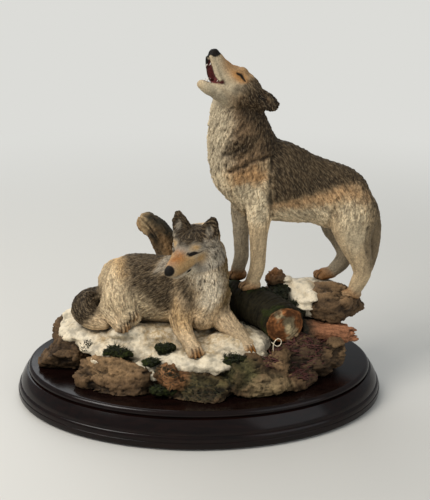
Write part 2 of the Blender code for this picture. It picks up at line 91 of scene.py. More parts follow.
# Wolf stations: x, y, z, half width across the body, half depth
HOWLER_LOFTS = {
    "neck": ((29.5, 16, 204, 11, 13), (28.5, 16, 197, 13.5, 17.5), (28.5, 16.5, 186, 15, 20),
             (30, 17.5, 172, 16.5, 23.5), (33.5, 19, 157, 17.5, 27), (39, 20, 142, 17, 28.5),
             (45, 20, 126, 14, 22)),
    "torso": ((38, 20, 138, 13, 26), (49, 20, 137, 17, 31), (62, 20, 134, 17.5, 30.5),
              (76, 20, 130, 16.5, 27.5), (90, 20, 127, 15.5, 25), (106, 20, 121.5, 16, 24.5),
              (119, 20, 116, 13, 18.5), (127, 20, 113, 8, 9)),
    "near_fore": ((50, 12, 142, 7, 13), (48, 11, 126, 8, 13), (45.5, 10, 113, 7, 9.8),
                  (45, 9.5, 100, 5.8, 7.4), (44.8, 9, 87, 5, 6.4), (44.8, 8.6, 76, 4.9, 5.9),
                  (44, 8.4, 69, 5, 5.8), (41.5, 8, 62, 4.9, 5.4), (39.5, 8, 57.5, 5.2, 4.8)),
    "near_fore_paw": ((43, 8, 56.4, 4.8, 4.4), (38, 8, 55.8, 6.2, 4.6), (34, 8, 55, 5.6, 3.8)),
    "far_fore": ((45, 29, 138, 7, 13), (40, 29, 123, 7.5, 12.5), (33.8, 29, 112, 6.5, 9.8),
                 (32.4, 29, 101, 5.6, 7.1), (32.5, 28.5, 87, 5, 6), (33, 28.3, 75, 4.8, 5.8),
                 (32, 28, 68, 4.8, 5.6), (30, 28, 61, 4.8, 5.4), (29, 28, 58, 5, 4.8)),
    "far_fore_paw": ((33, 28, 57.2, 4.8, 4.4), (28.5, 28, 56.6, 6, 4.4), (25.5, 28, 56, 5.2, 3.6)),
    "near_hind": ((115, 14, 130, 9, 11), (115.5, 12, 119, 10, 17.5), (115.5, 10.5, 106, 9, 18),
                  (116.8, 9.5, 94, 7, 13.6), (120.2, 9, 82, 5.6, 9.8), (123.2, 9, 73, 5, 8),
                  (124, 9, 65, 4.8, 6.8), (121, 9, 57, 4.6, 6), (118.5, 9, 51.5, 4.8, 5)),
    "near_hind_paw": ((120, 9, 49, 4.8, 4.4), (112, 8.4, 48.2, 6, 4.6), (106.6, 8, 47.2, 5.2, 3.6)),
    "far_hind": ((112, 27, 125, 9, 11), (109, 29, 111, 9, 16), (106, 31, 98, 7.5, 13),
                 (110, 32, 85, 5.8, 8.4), (113.5, 32, 74, 5, 6.6), (111.5, 32, 66, 4.8, 6.4),
                 (106, 32, 60, 4.8, 5.4), (103.5, 32, 58, 4.8, 4.8)),
    "far_hind_paw": ((104, 32, 57, 4.8, 4.4), (98.5, 32, 56.2, 6, 4.6), (94, 32, 55.2, 5.2, 3.6)),
    "tail": ((122, 20, 118, 6, 7), (129.5, 20, 110, 6.4, 6.6), (131.6, 19.5, 97, 7, 6.6),
             (130.5, 19, 81, 7, 6.8), (128.5, 18.5, 68, 5.6, 5.8), (128.5, 18, 59, 2.5, 2.8)),
}
LYING_LOFTS = {
    "neck": ((0, -4, 93, 15, 16), (3, -3, 82, 18, 18), (4, -4, 68, 19, 18.5),
             (4, -6, 54, 19, 18), (3, -7, 42, 16, 15)),
    "torso": ((12, -5, 52, 12, 15), (6, -4, 54, 17, 21), (-6, -3, 56, 19, 25),
              (-20, -1, 56.5, 20, 26), (-33, 0, 57, 21, 26), (-43, 1, 57.5, 21.5, 26),
              (-52, 2, 58, 20.5, 25.2), (-60, 2, 58, 16, 22)),
    "haunch": ((-59, -4, 62, 13, 15), (-57, -11, 53, 15, 16), (-53, -17, 43, 11, 11)),
    "near_shoulder": ((-8, -6, 62, 9, 13), (-12, -13, 50, 10, 12), (-13, -19, 40, 8.6, 8.6),
                      (-10.5, -27, 33.5, 6.6, 6.6), (-7, -34, 30, 5.6, 5.6),
                      (-4.4, -39, 27.8, 5.4, 4.8)),
    "near_paw": ((-5, -37, 27.8, 5.2, 4.6), (-3, -42, 26.6, 6.4, 4.6), (-1.6, -46, 25.4, 5.4, 3.8)),
    "far_shoulder": ((10, -4, 50, 9, 12), (16, -9, 39, 9, 10), (23, -16, 33, 8.4, 7.6),
                     (29, -21.4, 29.4, 8, 6.6), (33, -25.4, 26.6, 7, 5.6)),
    "far_paw": ((33, -25, 26, 6, 4.8), (36.4, -29, 24.2, 7, 4.7), (38.4, -32.4, 22.6, 6, 4)),
    "near_hock": ((-68, -14, 47, 7, 7.4), (-64, -19, 45, 6.6, 6.4), (-59, -24, 41.6, 6.6, 5.4),
                  (-55.4, -28, 38.4, 6, 4.6)),
    "far_foot": ((-58, -14, 48.6, 5.8, 5.6), (-54, -19.4, 47.4, 6, 5.2), (-49.6, -23, 46, 5.8, 4.8)),
    "tail": ((-64, 8, 50, 7, 8), (-76, 6, 46, 9.5, 10.5), (-84, 0, 43.5, 10.6, 12),
             (-84.6, -7, 41, 10.4, 11), (-78, -13, 38, 8.6, 8.4), (-70, -17, 37, 6, 6)),
}

# Head stations: behind the nose, over the nose line, half width, half depth
HOWLER_SKULL = ((-47, -8.8, 10.6, 8.6), (-42, -8.6, 12.4, 9.8), (-36, -8, 13.2, 10.8),
                (-30, -7.4, 12.2, 10.8), (-24, -7.8, 10, 10.2), (-18, -9.4, 7.8, 9),
                (-13, -9.4, 6.4, 8.6), (-8, -8.4, 5.8, 7.6), (-3.5, -5.9, 5, 5.6),
                (-1.2, -4.6, 3.9, 4.3))
HOWLER_JAW = ((-32, -15, 10.5, 11), (-25, -20.2, 8.8, 7.4), (-19.5, -22.4, 7.2, 6.6),
              (-16.6, -23.2, 6.2, 5.8), (-13.8, -25.6, 5.4, 4.9), (-10, -27, 4.8, 3.9),
              (-7, -27.6, 4, 3.2))
# Lips and tongue of the open mouth: behind, left, over, half width, half depth
HOWLER_LIP = ((0.2, 2.6, -8.6, 1.4, 1.8), (-4.5, 4.2, -12, 1.5, 2.4), (-10, 5, -16, 1.5, 2.5),
              (-14, 5.6, -18, 1.2, 1.6))
HOWLER_TONGUE = ((-24, -20, 3.6, 2.4), (-17, -22.2, 3.2, 1.8), (-11.5, -24.6, 2.6, 1.3))
LYING_SKULL = ((-52, -5.5, 12, 9.6), (-45, -3.6, 15.2, 11), (-38, -3, 14.8, 11.4),
               (-31, -3.2, 13.4, 10.8), (-25.5, -4, 11.4, 9.6), (-20.5, -5, 9.6, 8.2),
               (-14, -5.6, 7.6, 7), (-8, -5.4, 6.4, 6.2), (-3.5, -4.8, 5, 5.2), (-1.5, -4.2, 3.8, 4.2))
LYING_JAW = ((-30, -12, 10, 5), (-20, -12.6, 7, 3.8), (-12, -12.2, 5, 3), (-7, -11.2, 3.8, 2.4))

# Ear stations: behind, left, over, half width, half depth
HOWLER_EARS = ((-39, 9.4, -9.4, 4.4, 5.6), (-44.5, 11.2, -8.6, 3.4, 6.8), (-50, 12.4, -7.6, 2.4, 6.6),
               (-54.6, 13, -6, 1.9, 5.2), (-57, 13.2, -5, 1.4, 3.4))
LYING_EARS = ((-39, 10.4, 2, 8.2, 5.4), (-41, 12, 6.4, 7.8, 4), (-42.4, 13.4, 10.4, 6.8, 2.8),
              (-43.4, 14.4, 14, 5, 2.1), (-44, 15, 16.8, 2.8, 1.6))

# Cheek ruff and brow: behind, left, over, then radii along the same axes
HOWLER_FACE = ((-36, 10, -12.5, 9, 6, 9), (-24.5, 6.2, -1.2, 4.6, 3.4, 3))
LYING_FACE = ((-38, 12.4, -10, 7.6, 7, 9), (-30, 8, 3, 4.6, 4.6, 3.4))

# Ends of the paws, and the way the toes point
HOWLER_TOES = ((33.6, 7.4, 54.4), (24.8, 27.4, 55.4), (105.8, 7.6, 46.6), (93.2, 31.4, 54.8))
HOWLER_STEP = (-0.88, -0.46, -0.12)
HOWLER_MIDDLE = 20
LYING_TOES = (((-0.8, -47.4, 25), (0.3, -0.9, -0.3)), ((39.2, -34, 22), (0.45, -0.88, -0.3)),
              ((-54.2, -29.6, 37.2), (0.55, -0.8, -0.4)), ((-48, -24.6, 45), (0.55, -0.8, -0.3)))

# Patches of paint seen from the side: pigment, strength, outline in x and z
HOWLER_PATCHES = (
    ("cream", 1.0, ((0, 206), (17, 207), (21, 190), (23, 176), (19, 166), (18, 150), (21, 140),
                    (26, 128), (30, 116), (20, 108), (0, 120))),
    ("cream", 1.0, ((24, 132), (34, 139), (48, 138), (52, 128), (53, 116), (50, 108), (40, 104),
                    (30, 112))),
    ("cream", 0.8, ((54, 119), (75, 119), (92, 121), (99, 118), (97, 105), (80, 98), (56, 103))),
    ("olive", 1.0, ((22, 206), (34, 222), (54, 212), (58, 158), (40, 151), (24, 145), (19, 158),
                    (25, 180))),
    ("tan", 1.0, ((23, 150), (34, 155), (47, 151), (51, 142), (44, 136), (33, 139), (26, 133))),
    ("tan", 0.8, ((54, 124), (74, 128), (92, 133), (105, 137), (104, 124), (92, 121), (75, 119),
                  (54, 118))),
    ("tan", 0.8, ((96, 131), (105, 138), (115, 138), (127, 130), (128, 121), (118, 125), (106, 127),
                  (98, 122))),
    ("cream", 0.8, ((101, 118), (112, 124), (124, 118), (125, 98), (119, 82), (109, 92))),
    ("grey", 0.5, ((5, 210), (22, 206), (27, 190), (26, 150), (5, 140))),
    ("dark", 0.95, ((51, 166), (52.5, 122), (74, 126), (92, 131), (105, 135), (114, 135), (126, 127),
                    (130, 110), (145, 112), (145, 175), (52, 192))),
    ("dark", 0.85, ((28, 208), (27, 194), (33, 187), (40, 180), (46, 168), (48, 156), (58, 156),
                    (62, 200), (46, 224), (33, 216))),
    ("dark", 0.95, ((18, 163), (27, 157), (40, 165), (46, 175), (34, 173), (23, 169))),
    ("dark", 0.6, ((125, 112), (127, 104), (124, 89), (127, 74), (131, 64), (145, 70), (145, 115))),
    ("dark", 0.7, ((132, 140), (128, 120), (131, 100), (135, 84), (145, 84), (145, 140))),
)
LYING_PATCHES = (
    ("cream", 1.0, ((-54, 66), (-45, 68), (-37, 62), (-32, 51), (-22, 43), (-22, 34), (-58, 38),
                    (-56, 52))),
    ("cream", 0.9, ((-73, 72), (-66, 80), (-57, 80), (-53, 74), (-51, 66), (-56, 54), (-60, 44),
                    (-74, 44))),
    ("tan", 0.8, ((-70, 78), (-62, 88), (-52, 84), (-50, 72), (-56, 70), (-62, 76))),
    ("dark", 0.95, ((-72, 78), (-67, 90), (-57, 100), (-16, 100), (-16, 76), (-19, 50), (-25, 45),
                    (-33, 51), (-41, 59), (-49, 64), (-53, 70), (-55, 78), (-59, 86), (-65, 84))),
    ("tan", 0.8, ((-19, 71), (-18, 61), (-13, 53), (-6, 46), (-2, 36), (-21, 36))),
    ("white", 0.8, ((-12, 76), (2, 65), (1, 54), (9, 47), (17, 57), (19, 68), (14, 80), (0, 80))),
    ("dark", 0.85, ((-19, 75), (-10, 76), (-4, 66), (0, 57), (-1, 49), (-8, 51), (-13, 58), (-18, 64))),
    ("olive", 1.0, ((13, 110), (20, 108), (28, 94), (28, 60), (20, 44), (16, 50), (18, 63), (16, 76),
                    (13, 88))),
    ("dark", 1.0, ((-102, 46), (-92, 62), (-74, 62), (-74, 42), (-80, 40), (-90, 30))),
    ("dark", 0.6, ((16, 60), (19, 63), (18, 76), (16, 92), (13, 92), (14, 76))),
)

# Coats over the paws: centre, radii
HOWLER_PAWS = (((38, 8, 53), (13, 10, 11)), ((30, 28, 55), (12, 10, 12)), ((114, 9, 46), (14, 10, 11)),
               ((98, 32, 55), (13, 10, 9)))
LYING_PAWS = (((-1, -46, 24), (8, 8, 7)), ((40, -34, 21), (9, 9, 7)), ((-55, -28, 36.5), (8, 7, 7)),
              ((-49, -23, 44.4), (7, 6, 6)))

# Ridges and seams cut into the coat, with painted shadow in each groove: depth, width, path in x and z
HOWLER_SEAMS = (
    (1.3, 2.0, ((22, 146), (30, 150), (38, 154), (50, 157))),
    (0.6, 1.8, ((20, 159), (33, 165))), (0.5, 1.8, ((22, 172), (31, 178), (40, 186))),
    (1.1, 1.9, ((53.4, 156), (52.4, 140), (53.4, 122), (54.5, 112))),
    (0.7, 1.8, ((102, 126), (99, 116), (97, 106))), (0.7, 1.6, ((126, 104), (124, 92), (127, 80))),
)
LYING_SEAMS = (
    (1.1, 1.6, ((-50, 80), (-51, 68), (-56, 54), (-60, 46))),
    (0.9, 1.4, ((-76, 58), (-74, 46), (-74, 38))),
    (0.9, 1.4, ((16, 92), (17, 76), (18, 62), (15, 48))),
    (0.8, 1.4, ((-19, 72), (-20, 56), (-21, 42))),
)

# Dabs of paint, the same on both sides of a head: pigment, centre, radii, soft edge, strength
HOWLER_DABS = (
    ("cream", (-5, 0, -9), (9, 9, 6), 0.4, 0.9), ("cream", (-18, 0, -27), (17, 11, 9), 0.4, 1),
    ("tan", (-22, 0, -4), (22, 20, 12.5), 0.5, 1), ("orange", (-14, 0, -1), (16, 7, 5.4), 0.6, 0.8),
    ("orange", (-24, 9, -8), (10, 7, 5), 0.8, 0.6), ("cream", (-25, 10, -18), (11, 7, 8), 0.8, 0.7),
    ("dark", (-40, 0, 5), (13, 12, 6), 0.5, 1), ("dark", (-52, 12.4, -7), (9, 6, 10), 0.3, 1),
    ("black", (-43.6, 13.6, -9.6), (4.2, 4.5, 2.4), 0.6, 1),
    ("black", (-0.4, 0, -4.2), (5.4, 7, 6.2), 0.2, 1),
)
LYING_MARKS = (
    ("dark", (-27, 0, 5), (9, 3, 6), 0.7, 0.8), ("white", (-33, 15, -13), (10, 6, 8), 0.8, 0.45),
    ("white", (-16, 0, -15.5), (19, 13, 7), 0.5, 1),
)
LYING_DABS = (
    ("cream", (-10, 6, -8), (11, 5, 4), 0.8, 0.6), ("white", (-8, 0, -14.5), (9, 8, 3.4), 0.5, 1),
    ("dark", (-42, 13.6, 11), (6, 9.5, 11), 0.25, 1),
    ("black", (-16.4, 7, -12.2), (3.4, 5, 1.5), 0.6, 1),
    ("black", (-0.5, 0, -2.6), (4.6, 5.4, 4.4), 0.25, 1),
)


class HeadFrame:
    """A head's own axes: behind the nose, to the wolf's left and over the nose line."""

    def __init__(self, nose, heading, pitch, roll=0):
        turn, lift, tip = (math.radians(angle) for angle in (heading, pitch, roll))
        self.nose = Vector(nose)
        self.ahead = Vector((-math.sin(turn) * math.cos(lift), -math.cos(turn) * math.cos(lift),
                             math.sin(lift)))
        level = Vector((math.cos(turn), -math.sin(turn), 0))
        over = self.ahead.cross(level)
        self.left = level * math.cos(tip) + over * math.sin(tip)
        self.up = over * math.cos(tip) - level * math.sin(tip)
        self.axes = Matrix((self.ahead, self.left, self.up)).transposed()

    def at(self, behind, left, up):
        return self.nose + self.axes @ Vector((behind, left, up))

    def measure(self, points):
        """Each point as behind, left and over the nose."""
        return (points - np.array(self.nose)) @ np.array(self.axes)

    def centre_rows(self, stations):
        return [(*self.at(back, 0, up), wide, deep) for back, up, wide, deep in stations]

    def side_rows(self, stations, sign):
        return [(*self.at(back, sign * left, up), wide, deep)
                for back, left, up, wide, deep in stations]


HOWLER_HEAD = HeadFrame((13.4, 11, 234.2), 79, 45, 25)
LYING_HEAD = HeadFrame((-21.2, -38, 88.2), 31, -16)


def smooth_path(stations, steps=4):
    """Catmull-Rom curve through rows of numbers, with its end rows kept."""
    rows = np.array(stations, float)
    padded = np.vstack([2 * rows[0] - rows[1], rows, 2 * rows[-1] - rows[-2]])
    curve = []
    for i in range(len(rows) - 1):
        a, b, c, d = padded[i:i + 4]
        for t in np.arange(steps) / steps:
            curve.append(0.5 * (2 * b + (c - a) * t + (2 * a - 5 * b + 4 * c - d) * t * t
                                + (3 * b - a - 3 * c + d) * t ** 3))
    curve.append(rows[-1])
    return np.array(curve)


def domed(rows, fullness=1.0, steps=4):
    """The rows with a rounded end added at each end. Fullness 0 is a flat end."""
    def dome(end, inner):
        out = Vector(end[:3] - inner[:3]).normalized()
        reach = min(end[3:5]) * fullness
        added = []
        for i in range(1, steps):
            angle = math.pi / 2 * i / steps
            centre = end[:3] + np.array(out) * reach * math.sin(angle)
            added.append(np.concatenate([centre, end[3:5] * math.cos(angle)]))
        return added, end[:3] + np.array(out) * reach
    first, first_tip = dome(rows[0], rows[1])
    last, last_tip = dome(rows[-1], rows[-2])
    return np.array(first[::-1] + list(rows) + last), first_tip, last_tip


def add_loft(bm, stations, across=ACROSS, sides=24, fullness=1.0):
    """A closed tube of elliptical sections through the stations."""
    rows, first_tip, last_tip = domed(smooth_path(stations), fullness)
    rings = []
    for i, row in enumerate(rows):
        before, after = rows[max(i - 1, 0)], rows[min(i + 1, len(rows) - 1)]
        along = Vector(after[:3] - before[:3]).normalized()
        side = (across - along * across.dot(along)).normalized()
        deep = along.cross(side)
        ring = []
        for k in range(sides):
            angle = 2 * math.pi * k / sides
            ring.append(bm.verts.new(Vector(row[:3]) + side * row[3] * math.cos(angle)
                                     + deep * row[4] * math.sin(angle)))
        rings.append(ring)
    for ring, other in zip(rings, rings[1:]):
        for k in range(sides):
            bm.faces.new((ring[k], ring[(k + 1) % sides], other[(k + 1) % sides], other[k]))
    for ring, tip in ((rings[0], first_tip), (rings[-1], last_tip)):
        top = bm.verts.new(Vector(tip))
        for k in range(sides):
            bm.faces.new((ring[k], ring[(k + 1) % sides], top))


def add_ball(bm, centre, radii, axes=None, detail=3):
    ball = bmesh.ops.create_icosphere(bm, subdivisions=detail, radius=1)["verts"]
    turn = axes.to_4x4() if axes else Matrix.Identity(4)
    place = Matrix.Translation(Vector(centre)) @ turn @ Matrix.Diagonal((*radii, 1))
    bmesh.ops.transform(bm, matrix=place, verts=ball)
    return ball


def level_across(stations):
    """The level direction square to the path of a limb that lies on the ground."""
    run = Vector(stations[-1][:3]) - Vector(stations[0][:3])
    return Vector((0, 0, 1)).cross(run).normalized()


def add_toes(bm, tip, toward, reach=3.4):
    """Four toes across the end of a paw."""
    toward = Vector(toward).normalized()
    sidewise = Vector((0, 0, 1)).cross(toward).normalized()
    axes = Matrix((toward, sidewise, toward.cross(sidewise))).transposed()
    for offset, back in ((-4.5, 1.8), (-1.6, 0), (1.6, 0), (4.5, 1.8)):
        centre = Vector(tip) + sidewise * offset - toward * back
        add_ball(bm, centre, (reach, 1.85, 2.7), axes)


def add_head(bm, head, skull, jaw, ears, face):
    add_loft(bm, head.centre_rows(skull), head.left)
    add_loft(bm, head.centre_rows(jaw), head.left)
    for sign in (1, -1):
        add_loft(bm, head.side_rows(ears, sign), head.left)
        for back, left, up, *radii in face:
            add_ball(bm, head.at(back, sign * left, up), radii, head.axes)


def lattice_noise(points, cell, seed):
    """Smooth random values from -1 to 1, one knot per cell."""
    grid = points / cell + np.array((12.9, 78.2, 37.7)) * (seed + 1)
    low = np.floor(grid).astype(np.int64)
    part = grid - low
    part = part * part * (3 - 2 * part)
    total = np.zeros(len(points))
    for corner in itertools.product((0, 1), repeat=3):
        knot = low + corner
        mixed = knot[:, 0] * 73856093 ^ knot[:, 1] * 19349663 ^ knot[:, 2] * 83492791 ^ seed * 40503
        mixed = ((mixed ^ (mixed >> 13)) * 1274126177) & 0xFFFFFFFF
        mixed = ((mixed ^ (mixed >> 15)) * 668265263) & 0xFFFFFFFF
        share = np.prod(np.where(corner, part, 1 - part), axis=1)
        total += share * (mixed / 0x7FFFFFFF - 1)
    return total


def rough_noise(points, cell, seed, octaves=3):
    """Lattice noise with finer and weaker layers added."""
    layers = [lattice_noise(points, cell / 2 ** i, seed + i) / 2 ** i for i in range(octaves)]
    return sum(layers) / sum(1 / 2 ** i for i in range(octaves))


def combed_noise(points, flow, cell, reach, seed, steps=5):
    """Noise averaged along the flow, so that it runs in strands."""
    total = lattice_noise(points, cell, seed)
    for i in range(1, steps + 1):
        for sign in (1, -1):
            total = total + lattice_noise(points + flow * (sign * reach * i / steps), cell, seed)
    return total / math.sqrt(2 * steps + 1)


def shards(points, cell, seed):
    """Broken plates: each cell of space has its own height and tilt."""
    grid = points / cell
    home = np.floor(grid)
    best = np.full(len(points), FAR)
    height = np.zeros(len(points))
    for step in itertools.product((-1, 0, 1), repeat=3):
        knot = home + step
        mixed = np.sin(knot @ np.array((127.1, 311.7, 74.7)) + seed * 13.7) * 43758.5453
        chance = [np.modf(np.abs(mixed) * k)[0] for k in (1.0, 7.31, 53.7, 91.3, 17.9, 29.1, 41.3)]
        away = grid - knot - np.column_stack(chance[:3])
        gap = (away ** 2).sum(1)
        tilt = np.column_stack(chance[3:6]) * 2 - 1
        closer = gap < best
        best = np.where(closer, gap, best)
        height = np.where(closer, chance[6] - 0.5 + (away * tilt).sum(1) * 0.8, height)
    return height


def covers(points, centre, radii, edge=0.35):
    """1 inside an ellipsoid, easing to 0 over its outer share; with an edge of 1, from the centre."""
    away = np.linalg.norm((points - np.array(centre, float)) / np.array(radii, float), axis=1)
    share = np.clip((1 - away) / edge, 0, 1)
    return share * share * (3 - 2 * share)


def to_path(points, path):
    """Distance from each point to a line through the path's points."""
    best = np.full(len(points), FAR)
    for a, b in zip(np.array(path[:-1], float), np.array(path[1:], float)):
        run = b - a
        share = np.clip((points - a) @ run / max(run @ run, 1e-9), 0, 1)
        best = np.minimum(best, np.linalg.norm(points - a - share[:, None] * run, axis=1))
    return best


def mesh_from(bm, name):
    mesh = bpy.data.meshes.new(name)
    bm.to_mesh(mesh)
    bm.free()
    return mesh


def put(name, data):
    """A new object in the scene."""
    made = bpy.data.objects.new(name, data)
    bpy.context.scene.collection.objects.link(made)
    return made


def fused(bm, grid, smoothing):
    """One skin over all the closed shapes in bm, in millimetres."""
    bmesh.ops.recalc_face_normals(bm, faces=bm.faces)
    mesh = mesh_from(bm, "rough")
    rough = put("rough", mesh)
    fuse = rough.modifiers.new("fuse", "REMESH")
    fuse.mode = "VOXEL"
    fuse.voxel_size = grid
    ease = rough.modifiers.new("ease", "SMOOTH")
    ease.factor = 0.5
    ease.iterations = smoothing
    shaped = rough.evaluated_get(bpy.context.evaluated_depsgraph_get())
    skin = bpy.data.meshes.new_from_object(shaped)
    bpy.data.objects.remove(rough)
    bpy.data.meshes.remove(mesh)
    return skin


def largest_shell(mesh):
    """The mesh without the small shells that the fusing left inside."""
    count = len(mesh.vertices)
    ends = np.empty(len(mesh.edges) * 2, np.int32)
    mesh.edges.foreach_get("vertices", ends)
    ends = ends.reshape(-1, 2)
    label = np.arange(count)
    while True:
        low = np.minimum(label[ends[:, 0]], label[ends[:, 1]])
        new = label.copy()
        np.minimum.at(new, ends[:, 0], low)
        np.minimum.at(new, ends[:, 1], low)
        new = new[new]
        if (new == label).all():
            break
        label = new
    names, sizes = np.unique(label, return_counts=True)
    if len(names) == 1:
        return mesh
    keep = names[np.argmax(sizes)]
    bm = bmesh.new()
    bm.from_mesh(mesh)
    bm.verts.ensure_lookup_table()
    bmesh.ops.delete(bm, geom=[bm.verts[i] for i in np.nonzero(label != keep)[0]], context="VERTS")
    bm.to_mesh(mesh)
    bm.free()
    return mesh


class Sculpt:
    """A skin whose points are worked on as an array, with named coats of paint."""

    def __init__(self, mesh):
        self.mesh = mesh
        self.coats = {}
        self.fur = None
        self.read()

    def read(self):
        flat = np.empty(len(self.mesh.vertices) * 3)
        self.mesh.vertices.foreach_get("co", flat)
        self.points = flat.reshape(-1, 3)
        flat = np.empty(len(self.mesh.vertices) * 3)
        self.mesh.vertices.foreach_get("normal", flat)
        self.normals = flat.reshape(-1, 3)

    def write(self):
        self.mesh.vertices.foreach_set("co", self.points.ravel())
        self.mesh.update()
        self.read()

    def refine(self, chosen):
        """Splits the faces whose points are all chosen."""
        bm = bmesh.new()
        bm.from_mesh(self.mesh)
        edges = [e for e in bm.edges if chosen[e.verts[0].index] and chosen[e.verts[1].index]]
        bmesh.ops.subdivide_edges(bm, edges=edges, cuts=1, use_grid_fill=True, smooth=0.0)
        bmesh.ops.triangulate(bm, faces=bm.faces)
        bm.to_mesh(self.mesh)
        bm.free()
        self.read()

    def raise_by(self, height):
        """Moves each point out along its normal."""
        self.points = self.points + self.normals * np.asarray(height)[:, None]
        self.write()

    def push(self, way, weight):
        """Moves each point along one direction by its weight."""
        self.points = self.points + np.array(way, float) * np.asarray(weight)[:, None]
        self.write()

    def comb(self, limbs):
        """Lays fur coordinates on the skin and returns flow, along, around and nearest limb."""
        flow, along, around, nearest = comb(self.points, self.normals, limbs)
        self.fur = np.column_stack([along, around, nearest * 37.0])
        return flow, along, around, nearest

    def coat(self, name, value):
        """Lays a coat over what is there; the stronger one shows."""
        old = self.coats.get(name, np.zeros(len(self.points)))
        self.coats[name] = np.maximum(old, np.clip(value, 0, 1))

    def thin(self, name, value):
        if name in self.coats:
            self.coats[name] = self.coats[name] * (1 - np.clip(value, 0, 1))

    def finish(self, name, finish, slot="painted_resin"):
        """The finished piece, in metres in the model's frame."""
        for coat, value in self.coats.items():
            layer = self.mesh.attributes.new(coat, "FLOAT", "POINT")
            layer.data.foreach_set("value", np.asarray(value, np.float32))
        if self.fur is not None:
            layer = self.mesh.attributes.new("fur", "FLOAT_VECTOR", "POINT")
            layer.data.foreach_set("vector", self.fur.astype(np.float32).ravel())
        self.mesh.transform(Matrix.Translation((0, 0, SEAT)) @ Matrix.Scale(MM, 4))
        return place_piece(name, self.mesh, finish)


def place_piece(name, mesh, finish, replaces=CASTING):
    mesh.name = name
    mesh.materials.clear()
    mesh.materials.append(finish)
    mesh.shade_smooth()
    piece = put(name, mesh)
    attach(piece, "root")
    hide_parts(replaces)
    return piece


class Limb:
    """A loft's axis, to tell how far along and how far round it a point lies."""

    def __init__(self, stations, across=ACROSS, lean=0.0):
        rows = smooth_path(stations, 8)
        self.lean = lean
        self.centre = rows[:, :3]
        self.half = rows[:, 3:5]
        along = np.gradient(self.centre, axis=0)
        self.along = along / np.linalg.norm(along, axis=1)[:, None]
        side = np.array(across) - self.along * (self.along @ np.array(across))[:, None]
        self.side = side / np.linalg.norm(side, axis=1)[:, None]
        self.deep = np.cross(self.along, self.side)
        step = np.linalg.norm(np.diff(self.centre, axis=0), axis=1)
        self.run = np.concatenate([[0], np.cumsum(step)])

    def measure(self, points):
        """Fur direction, length along, length round from the ridge and relative distance out."""
        gap = ((points ** 2).sum(1)[:, None] + (self.centre ** 2).sum(1)[None]
               - 2 * points @ self.centre.T)
        i = gap.argmin(1)
        off = points - self.centre[i]
        a = (off * self.side[i]).sum(1)
        b = (off * self.deep[i]).sum(1)
        c = (off * self.along[i]).sum(1)
        wide, deep = self.half[i, 0], self.half[i, 1]
        out = np.sqrt((a / wide) ** 2 + (b / deep) ** 2 + (c / np.minimum(wide, deep)) ** 2 * 0.5)
        turn = np.abs(np.arctan2(a / wide, b / deep))
        away = (self.side[i] * b[:, None] - self.deep[i] * a[:, None]) * np.sign(a)[:, None]
        away = away / np.maximum(np.linalg.norm(away, axis=1), 1e-6)[:, None]
        run = self.run[i] + c
        return self.along[i] + self.lean * away, run, turn * (wide + deep) / 2 - self.lean * run, out


def comb(points, normals, limbs):
    """Fur direction, and the length along and round of the limb that each point is on."""
    rows = [limb.measure(points) for limb in limbs]
    out = np.stack([row[3] for row in rows])
    weight = np.exp(-6 * (out - out.min(0)))
    flow = sum(w[:, None] * row[0] for w, row in zip(weight, rows))
    flow = flow - normals * (flow * normals).sum(1)[:, None]
    flow = flow / np.maximum(np.linalg.norm(flow, axis=1), 1e-6)[:, None]
    nearest = out.argmin(0)
    along = np.choose(nearest, [row[1] for row in rows])
    around = np.choose(nearest, [row[2] for row in rows])
    return flow, along, around, nearest


def locks(along, around, length, width, seed, lean=0.0, warp=None):
    """Overlapping pointed locks: each rises to its tip and drops on to the next one's root."""
    around = around + lean * along
    if warp is not None:
        around = around + warp * width * 0.7
        along = along + np.roll(warp, 7) * length * 0.15
    column = np.floor(around / width)
    across = around / width - column - 0.5
    chance = np.sin(column * 127.1 + seed * 311.7) * 43758.5453
    t = along / length + (chance - np.floor(chance)) + np.abs(across) * 0.5
    rise = t - np.floor(t)
    return rise ** 1.3 * (1 - (2 * np.abs(across)) ** 2 * (0.4 + 0.6 * rise)) - 0.3


# Materials

def colour(code):
    """Linear colour from a six-digit sRGB code."""
    parts = [int(code[i:i + 2], 16) / 255 for i in (0, 2, 4)]
    return tuple(p / 12.92 if p <= 0.04045 else ((p + 0.055) / 1.055) ** 2.4 for p in parts)


